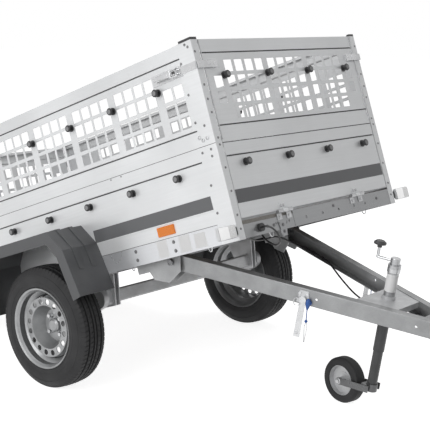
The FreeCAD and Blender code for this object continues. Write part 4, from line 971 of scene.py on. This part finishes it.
@dataclass
class BoxFasteners:
    """Rivets, bolts and wire rings of the posts, sills and members.

    Places on a side are a setback from the front and a height, and places on an end a side and a height.
    """

    post_rivets: Profile = ((36, 794), (23, 782), (77, 729), (78, 603), (78, 490), (36, 468), (32, 372), (80, 368),
                            (35, 345), (77, 236), (80, 125), (32, 60), (36, 18))
    post_rivet: Pair = (5.6, 2.2)
    board_post_width: float = 95
    mesh_post_width: float = 80
    edge_dots: Profile = ((560, 384), (625, 384), (1510, 384))
    edge_dot: Pair = (3.6, 1.6)
    end_rivets: Profile = ((-552, 511), (-552, 409), (-552, 381), (-552, 289), (-552, 195), (-552, 99), (-552, 43),
                           (-563, 757), (-563, 701), (-556, 623), (-556, 565))
    end_rivet: Pair = (5, 2)
    sill_bolts: Profile = ((582, 24), (581, 61), (351, 23), (352, 60), (1560, 24), (1560, 61), (1800, 24), (1800, 61))
    sill_bolt: Point = (9, 4.6, 8)
    member_bolts: Profile = ((-463, 29), (-386, 30), (-343, 28), (-310, 31), (-262, 29), (88, 52), (430, 41))
    member_face: float = -2.5
    catch_bolts: Profile = ((-290, 22), (-290, -6))
    catch_face: float = 1.5
    member_bolt: Point = (8, 4.2, 7.4)
    wire_rings: Profile = ((76, 428), (60, 414), (36, 418))
    ring_radius: float = 6.5
    ring_proud: float = 1.6
    ring_wire: float = 1.5
    # Setbacks of the lashing eyes below the sill, and the shift and height of their wire's points.
    lashing_eyes: tuple[float, ...] = (173, 630, 1520, 1960)
    eye: Profile = ((-11, 3), (-9, -6), (-3, -15), (3, -15), (9, -6), (11, 3))
    eye_depth: float = 11
    eye_wire: float = 2.2
    front_eye: Profile = ((-371, 3), (-369, -7), (-363, -15), (-357, -15), (-351, -7), (-349, 3))
    front_eye_face: float = -12

    def side_face(self, setback: float, height: float) -> float:
        """Side position of the outer face: the post's near a corner, and else the sheet's.

        Args:
            setback: Distance from the corner.
            height: Height on the side.

        Returns:
            The distance from the middle of the box.
        """
        reach = self.board_post_width if height < BED.seam else self.mesh_post_width
        return BED.half_width if setback < reach else BED.skin

    def rivets(self) -> None:
        """Builds the rivets of the posts and of the boards' upper edges."""
        rivets = Piece("box_rivets")
        for setback, height in self.post_rivets:
            for side, end in CORNERS:
                face = side.value * self.side_face(setback, height)
                rivets.rivet(BED.at(end, (-setback, face, height)), side.out, self.post_rivet)
        for setback, height in self.edge_dots:
            for side in Side:
                rivets.rivet((-setback, side.value * BED.skin, height), side.out, self.edge_dot)
        for place, height in self.end_rivets:
            for side, end in CORNERS:
                rivets.rivet(BED.at(end, (0, side.value * place, height)), end.out, self.end_rivet)
        rivets.place(Body.BED, RIVET_STEEL, "sheet")

    def bolts(self) -> None:
        """Builds the bolts of the sills, the front member and its catch tab."""
        bolts = Piece("sill_bolts")
        for setback, height in self.sill_bolts:
            for side in Side:
                bolts.bolt((-setback, side.value * BED.skin, height), side.out, self.sill_bolt)
        for face, places in ((self.member_face, self.member_bolts), (self.catch_face, self.catch_bolts)):
            for place, height in places:
                bolts.bolt((face, place, height), End.FRONT.out, self.member_bolt)
        bolts.place(Body.BED, RIVET_STEEL, "zinc")

    def wires(self) -> None:
        """Builds the wire rings on the posts and the lashing eyes below the box."""
        rings = Piece("side_wire_rings")
        for setback, height in self.wire_rings:
            for side, end in CORNERS:
                x, y, z = BED.at(end, (-setback, side.value * (BED.half_width + self.ring_proud), height))
                rings.tube([(x + self.ring_radius * cosine, y, z + self.ring_radius * sine)
                            for cosine, sine in circle(18)], self.ring_wire, 8, joined=True)
        for setback in self.lashing_eyes:
            for side in Side:
                rings.tube([(shift - setback, side.value * (BED.skin - self.eye_depth), height)
                            for shift, height in self.eye], self.eye_wire)
        rings.tube([(self.front_eye_face, place, height) for place, height in self.front_eye], self.eye_wire)
        rings.place(Body.BED, BRIGHT, "zinc")

    def build(self) -> None:
        """Builds the fasteners."""
        self.rivets()
        self.bolts()
        self.wires()


@dataclass
class BoardHinges:
    """Bolts of the board hinges, at the front and the rear."""

    leaf_sides: tuple[float, ...] = (-275, -257, 257, 275)
    leaf_height: float = 99
    leaf_face: float = 1.5
    fixed_sides: tuple[float, ...] = (-298, -234, 234, 298)
    fixed_height: float = 54
    fixed_face: float = 0.5
    bolt: Point = (8, 4.4, 7)

    def build(self) -> None:
        """Builds the bolts of the leaves, which ride on the boards, and those of the fixed halves."""
        for end, body in BOARDS.items():
            bolts = Piece(body.value + "_hinge_bolts")
            for side in self.leaf_sides:
                bolts.bolt(BED.at(end, (self.leaf_face, side, self.leaf_height)), end.out, self.bolt)
            bolts.place(body, BRIGHT, "zinc")
        fixed = Piece("fixed_hinge_bolts")
        for side in self.fixed_sides:
            for end in End:
                fixed.bolt(BED.at(end, (self.fixed_face, side, self.fixed_height)), end.out, self.bolt)
        fixed.place(Body.BED, BRIGHT, "zinc")


@dataclass
class CornerLatches:
    """Working parts of the four corner latches: frame, wire loops, lever and rivets, and a near black block of
    painted shade in each frame's hollow.

    Points are a setback from the corner, a distance out of the plate and a height from the latch's middle.
    """

    height: float = 704
    plate_face: float = 573
    frame: tuple[tuple[Point, Point, float], ...] = (
        ((96, -0.5, -16.5), (134, 21, -11.5), 1.6), ((96, -0.5, 11.5), (134, 21, 16.5), 1.6),
        ((127, -0.5, -16.5), (135, 23, 16.5), 2.4))
    # Painted shade: a near black block inside the frame, where its hollow lies in shade.
    recess_shade: tuple[Point, Point] = ((105, 17.6, -6.5), (122, 18.4, 6.5))
    loops: Pair = (-7.5, 7.5)
    loop: tuple[Point, ...] = ((88, 4.6, 0.14), (100, 10, 0.26), (112, 19.5, 0.38), (124, 20.5, 0.5))
    loop_wire: float = 1.9
    # Setback, distance out and half height of the lever.
    lever: tuple[Point, ...] = ((134, 18.5, 12), (168, 20.4, 10), (206, 20.4, 7), (228, 17, 5))
    lever_thickness: float = 2.2
    rivets: Profile = ((150, 20.6), (238, 0), (90, 0))
    rivet: Pair = (5, 2)

    def spot(self, side: Side, end: End, point: Point) -> Point:
        """Place in the box of a point of the latch at one corner."""
        setback, out, height = point
        return BED.at(end, (-setback, side.value * (self.plate_face + out), self.height + height))

    def latch(self, metal: Piece, dark: Piece, side: Side, end: End) -> None:
        """Adds one latch at a corner.

        Args:
            metal: Piece that takes the bright parts.
            dark: Piece that takes the painted shade in the hollows.
            side: Side of the box.
            end: End of the box.
        """
        for first, last, bevel in self.frame:
            metal.block(self.spot(side, end, first), self.spot(side, end, last), bevel)
        dark.block(*(self.spot(side, end, corner) for corner in self.recess_shade))
        for middle in self.loops:
            metal.tube([self.spot(side, end, (x, out, middle + rise)) for x, out, rise in self.loop], self.loop_wire)
        rings = []
        for x, out, half in self.lever:
            over = out + self.lever_thickness
            section = ((x, out, -half), (x, out, half), (x, over, half - 1), (x, over, 1 - half))
            rings.append([self.spot(side, end, point) for point in section])
        metal.skin(rings)
        for x, out in self.rivets:
            metal.rivet(self.spot(side, end, (x, out, 0)), side.out, self.rivet)

    def build(self) -> None:
        """Builds the four latches."""
        metal = Piece("corner_latch_parts")
        dark = Piece("corner_latch_recess_shades")
        for side, end in CORNERS:
            self.latch(metal, dark, side, end)
        metal.place(Body.BED, LATCH_STEEL, "zinc", crease=28)
        dark.place(Body.BED, SEAM_SHADE, "zinc")


@dataclass
class KnobCentres:
    """Raised centres of the rope knobs: a ring and a screw on each."""

    pitch: float = 277
    first: float = 236
    count: int = 7
    rows: Pair = (300, 656)
    face: float = 26
    end_pitch: float = 282.0135
    end_count: int = 4
    centre: Profile = ((9.6, -0.3), (9.6, 0.7), (8.8, 1.3), (6.4, 1.3), (6, 0.5), (3.4, 0.3))
    facets: int = 26

    def build(self) -> None:
        """Builds the centres of all knobs, each on its panel's body."""
        sides = Piece("side_knob_centres")
        for i in range(self.count):
            for height in self.rows:
                for side in Side:
                    foot = (-self.first - i * self.pitch, side.value * (BED.skin + self.face), height)
                    sides.turned(foot, side.out, self.centre, self.facets)
        sides.place(Body.BED, KNOB_CENTRE, "black_plastic")
        for bodies, height in zip((BOARDS, MESHES), self.rows):
            for end, body in bodies.items():
                ends = Piece(body.value + "_knob_centres")
                for i in range(self.end_count):
                    place = (i - (self.end_count - 1) / 2) * self.end_pitch
                    foot = BED.at(end, (BED.front_skin + self.face, place, height))
                    ends.turned(foot, end.out, self.centre, self.facets)
                ends.place(body, KNOB_CENTRE, "black_plastic")


@dataclass
class Lamps:
    """Lenses of the front and rear lamps."""

    front_face: float = 8
    front_depth: float = 3
    front_heights: Pair = (15, 63)
    lens_spans: tuple[Pair, ...] = ((-688.5, -632), (591.5, 648))
    lens_proud: float = 1.3
    window_spans: tuple[Pair, ...] = ((-631, -591.5), (649, 688.5))
    window_proud: float = 0.9
    rear_faces: Pair = (-2175.1, -2171.5)
    rear_heights: Pair = (-10, 54)
    # Spans of the rear lenses to the side, from the box's middle outwards.
    stop_span: Pair = (356, 410)
    turn_span: Pair = (412, 464)
    tail_span: Pair = (466, 520)
    bevel: float = 2

    def build(self) -> None:
        """Builds the lenses."""
        low, high = self.front_heights
        for name, spans, proud, finish in (
                ("front_lamp_lenses", self.lens_spans, self.lens_proud, WHITE_LENS),
                ("front_lamp_windows", self.window_spans, self.window_proud, CLEAR_LENS)):
            front = Piece(name)
            for first, last in spans:
                front.block((self.front_face - self.front_depth, first, low),
                            (self.front_face + proud, last, high), self.bevel)
            front.place(Body.BED, finish, "white_lens")
        for use, (inner, outer), finish, slot in (("stop", self.stop_span, RED_LENS, "red_lens"),
                                                  ("turn", self.turn_span, AMBER_LENS, "amber_lens"),
                                                  ("tail", self.tail_span, RED_LENS, "red_lens")):
            lens = Piece("rear_lenses_" + use)
            for side in Side:
                lens.block((self.rear_faces[0], side.value * inner, self.rear_heights[0]),
                           (self.rear_faces[1], side.value * outer, self.rear_heights[1]), self.bevel)
            lens.place(Body.BED, finish, slot)


@dataclass
class Drawbar:
    """Fasteners and small parts of the drawbar, the bed latches and the coupling.

    Places on a beam are a reach forward, a distance out of its face and a height.
    """

    apex: float = 1303
    half_angle: float = 18.06
    latch_bolts: tuple[Point, ...] = ((545, 3, 12), (575, 3, 12), (552, 9.5, -12))
    latch_bolt: Point = (9, 5, 8)
    ring: Point = (541, 11.5, -26)
    ring_radii: Pair = (13, 17)
    ring_wire: float = 1.8
    handle_pin: Point = (558.5, 8.3, -158)
    pin_head: Profile = ((8, -0.2), (8, 1.2), (5.4, 1.6), (4.6, 0.6))
    # The blue clip hangs at one reach; its tether's points are a shift from it, a distance out and a height.
    clip_reach: float = 587
    clip_top: Point = (0, 10, -2)
    clip: Profile = ((4, 0), (8, 3), (10.5, 10), (10.5, 24), (8.4, 34), (5, 42), (3.2, 48))
    tether: tuple[Point, ...] = ((0, 10, -46), (2, 10.5, -70), (5, 11, -96))
    tether_radius: float = 2
    stop_top: Point = (5, 11, -92)
    stop: Profile = ((2.4, 0), (6.2, 3), (6.6, 8), (3, 13))
    # The wire loop below it, as shares of its length and distances to the side.
    loop_top: Point = (6, 11, -102)
    loop_length: float = 88
    loop_lean: float = 4
    loop: Profile = ((0, 0), (0.12, 5.2), (0.3, 7), (0.5, 5.6), (0.75, 3), (0.95, 2.2), (1, 0), (0.95, -2.2),
                     (0.75, -2.4), (0.5, -4.6), (0.3, -6.2), (0.12, -4.6))
    loop_wire: float = 1.5
    nose_bolts: Pair = (1095, 1155)
    nose_bolt: Point = (18, 10, 15)
    nose_top: float = 39
    grip: tuple[Point, Point] = ((1070, -21.5, 101), (1142, 21.5, 121.5))
    grip_bevel: float = 5

    def face(self, reach: float, side: Side, out: float) -> float:
        """Side position of a place outside a beam's outer face."""
        return side.value * ((self.apex - reach) * math.tan(math.radians(self.half_angle)) + out)

    def spot(self, side: Side, place: Point) -> Point:
        """Point of the drawbar frame at a place on a beam."""
        reach, out, height = place
        return (reach, self.face(reach, side, out), height)

    def hang(self, side: Side, place: Point) -> Point:
        """Point of the drawbar frame at a place on the clip or its tether."""
        shift, out, height = place
        return (self.clip_reach + shift, self.face(self.clip_reach, side, out), height)

    def latch(self, metal: Piece, blue: Piece, side: Side) -> None:
        """Adds the bolts, rings, blue clip and its tether of one bed latch.

        Args:
            metal: Piece that takes the bright parts.
            blue: Piece that takes the clip and its tether.
            side: Side of the drawbar.
        """
        angle = math.radians(self.half_angle)
        way = (math.sin(angle), side.value * math.cos(angle), 0.0)
        down = (0.0, 0.0, -1.0)
        for place in self.latch_bolts:
            metal.bolt(self.spot(side, place), way, self.latch_bolt)
        reach, out, height = self.ring
        metal.tube([self.spot(side, (reach + self.ring_radii[0] * cosine, out, height + self.ring_radii[1] * sine))
                    for cosine, sine in circle(22)], self.ring_wire, 8, joined=True)
        metal.turned(self.spot(side, self.handle_pin), way, self.pin_head, 24)
        blue.turned(self.hang(side, self.clip_top), down, self.clip, 20)
        blue.tube([self.hang(side, place) for place in self.tether], self.tether_radius)
        blue.turned(self.hang(side, self.stop_top), down, self.stop, 16)
        shift, out, height = self.loop_top
        metal.tube([self.hang(side, (shift + wide + share * self.loop_lean, out, height - share * self.loop_length))
                    for share, wide in self.loop], self.loop_wire, 8, joined=True)

    def build(self) -> None:
        """Builds the drawbar's small parts."""
        metal = Piece("drawbar_fasteners", BAR)
        blue = Piece("latch_tethers", BAR)
        for side in Side:
            self.latch(metal, blue, side)
        for reach in self.nose_bolts:
            metal.bolt((reach, 0, self.nose_top), (0.0, 0.0, 1.0), self.nose_bolt)
        metal.place(Body.DRAWBAR, BRIGHT, "zinc")
        blue.place(Body.DRAWBAR, BLUE_COAT, "blue_clip")
        grip = Piece("coupling_grip", BAR)
        grip.block(*self.grip, self.grip_bevel, 3)
        grip.place(Body.DRAWBAR, BLACK_PLASTIC, "black_plastic")


@dataclass
class JockeyHead:
    """Small parts of the jockey tube: blank label, cap rings and the clamp's grip."""

    reach: float = 812
    label_foot: float = 66
    label: Profile = ((24, 0), (24.35, 0.2), (24.35, 73.8), (24, 74))
    band_foot: float = 145
    band: Profile = ((24, 0), (27.2, 3), (27.2, 20.5), (24, 20.6))
    cap_foot: float = 206.8
    cap: Profile = ((20, 0), (19, 1.8), (7, 2.4))
    grip_foot: Point = (812, -58, 5)
    grip: Profile = ((5, 0), (10, 2), (11, 8), (11, 30), (8, 35))

    def build(self) -> None:
        """Builds the label, the rings and the grip."""
        up = (0.0, 0.0, 1.0)
        label = Piece("jockey_label", BAR)
        label.turned((self.reach, 0, self.label_foot), up, self.label, 48)
        label.place(Body.DRAWBAR, WHITE_LABEL, "zinc")
        rings = Piece("jockey_rings", BAR)
        rings.turned((self.reach, 0, self.band_foot), up, self.band, 48)
        rings.turned((self.reach, 0, self.cap_foot), up, self.cap, 40)
        rings.place(Body.DRAWBAR, BRIGHT, "zinc")
        grip = Piece("clamp_grip", BAR)
        grip.turned(self.grip_foot, Side.RIGHT.out, self.grip, 24)
        grip.place(Body.DRAWBAR, BLACK_PLASTIC, "black_plastic")


@dataclass
class JockeyWheel:
    """Nuts of the fork's pin and the rings round the small wheel's hub."""

    yaw: float = -9
    washer_out: float = 40
    washer: Profile = ((13, -0.2), (13, 1.5), (12, 2))
    nut_out: float = 41.5
    nut: Profile = ((10, 0), (10, 6.5), (8.6, 8))
    disc_out: float = 3
    disc: Profile = ((34, -0.2), (33, 2.4), (28, 3.2), (22, 1.6), (15.6, 1.6))

    def build(self) -> None:
        """Builds the parts that turn with the small wheel and those of the fork."""
        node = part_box("jockey_rim")
        middle = (Vector(node[0]) + Vector(node[1])) / 2 / MM
        yaw = math.radians(self.yaw)
        way = BAR.along(-math.sin(yaw), math.cos(yaw), 0)
        nuts = Piece("fork_pin_nuts", WORLD)
        discs = Piece("jockey_hub_rings", WORLD)
        for sign in (-1, 1):
            out = way * sign
            nuts.turned(tuple(middle + out * self.washer_out), tuple(out), self.washer, 28)
            nuts.turned(tuple(middle + out * self.nut_out), tuple(out), self.nut, 6, 20)
            discs.turned(tuple(middle + out * self.disc_out), tuple(out), self.disc, 48)
        nuts.place(Body.JOCKEY_FORK, BRIGHT, "zinc")
        discs.place(Body.JOCKEY_WHEEL, AXLE_STEEL, "rim")


@dataclass(frozen=True)
class Lamp:
    """A square soft light of the studio: its place and aim, its width in metres and its power in watts."""

    name: str
    place: Point
    aim: Point
    width: float
    power: float

    def build(self) -> None:
        """Hangs the light up and turns it to its aim."""
        data = bpy.data.lights.new(self.name, "AREA")
        data.size = self.width
        data.energy = self.power
        made = bpy.data.objects.new(self.name, data)
        made.location = self.place
        made.rotation_euler = (Vector(self.aim) - Vector(self.place)).to_track_quat("-Z", "Y").to_euler()
        bpy.context.scene.collection.objects.link(made)


@dataclass
class Studio:
    """Pale floor, soft lights, white backdrop and the camera."""

    camera_place: Point = (3.244, -3.707, 1.672)
    camera_turn: Point = (1.6744, 0.6309, -0.4997)
    focal: float = 89.44
    sensor: float = 36
    far: float = 200
    floor_half: float = 30
    floor_tone: Colour = (0.80, 0.80, 0.80)
    floor_lift: float = 0.86
    sky: float = 0.22
    white: Colour = (1.0, 1.0, 1.0)
    lamps: tuple[Lamp, ...] = (
        Lamp("side_light", (0.2, -6.2, 3.2), (0, 0, 0.8), 4.6, 206),
        Lamp("front_light", (6.4, 1.4, 3.2), (0.4, 0, 0.7), 3.2, 2),
        Lamp("top_light", (-0.6, 0.4, 5.2), (-0.2, 0, 0.6), 3.6, 70))

    def backdrop(self) -> None:
        """Makes the world: white where it is seen, a soft sky elsewhere."""
        world = bpy.data.worlds.new("studio")
        bpy.context.scene.world = world
        world.use_nodes = True
        world.node_tree.nodes.clear()
        nodes = Nodes(world.node_tree)
        light = nodes.node("Background", Color=self.white, Strength=nodes.ramp(nodes.seen(), 0, 1, self.sky, 1))
        nodes.node("OutputWorld", Surface=light.outputs["Background"])

    def floor(self) -> None:
        """Makes the floor, a little lifted where it is seen so that it ends in white."""
        half = self.floor_half
        data = bpy.data.meshes.new("studio_floor")
        data.from_pydata([(-half, -half, 0), (half, -half, 0), (half, half, 0), (-half, half, 0)], [], [(0, 1, 2, 3)])
        ground = bpy.data.objects.new("studio_floor", data)
        bpy.context.scene.collection.objects.link(ground)
        s = Surface("studio_floor")
        s.set(Base_Color=self.floor_tone, Roughness=0.9, Specular_IOR_Level=0.1, Emission_Color=self.white,
              Emission_Strength=s.calc("MULTIPLY", s.seen(), self.floor_lift))
        data.materials.append(s.material)

    def camera(self) -> None:
        """Places the camera at the photograph's view."""
        turn = Vector(self.camera_turn)
        rows = Matrix.Rotation(turn.length, 3, turn.normalized())
        axes = Matrix((rows[0], -rows[1], -rows[2])).transposed()
        data = bpy.data.cameras.new("view")
        data.lens = self.focal
        data.sensor_width = self.sensor
        data.clip_end = self.far
        made = bpy.data.objects.new("view", data)
        made.matrix_world = Matrix.Translation(self.camera_place) @ axes.to_4x4()
        bpy.context.scene.collection.objects.link(made)
        bpy.context.scene.camera = made

    def build(self) -> None:
        """Builds the whole studio."""
        bpy.context.scene.view_settings.view_transform = "Standard"
        self.backdrop()
        self.floor()
        for lamp in self.lamps:
            lamp.build()
        self.camera()


class Trailer:
    """The whole trailer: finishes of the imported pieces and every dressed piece."""

    def dress(self) -> None:
        """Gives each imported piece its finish."""
        for finish, nodes in CAD_FINISHES:
            for node in nodes.split():
                for slot in frame["nodes"][node].material_slots:
                    slot.link = "OBJECT"
                    slot.material = finish.material()

    def build(self) -> None:
        """Builds the sub-assemblies in order."""
        self.dress()
        for side, body in ((Side.LEFT, Body.WHEEL_LEFT), (Side.RIGHT, Body.WHEEL_RIGHT)):
            RoadTyre(side, body, "tyre_" + side.name.lower()).build()
            RoadWheel(side, body).build()
        for part in (CreaseShades(), EndMesh(End.FRONT), EndMesh(End.REAR), Stickers(), BoxFasteners(),
                     BoardHinges(), CornerLatches(), KnobCentres(), Lamps(), Drawbar(), JockeyHead(), JockeyWheel()):
            part.build()


def main() -> None:
    """Builds the scene."""
    logging.basicConfig(level=logging.INFO, format="%(message)s")
    Studio().build()
    Trailer().build()


if __name__ == "__main__":
    main()
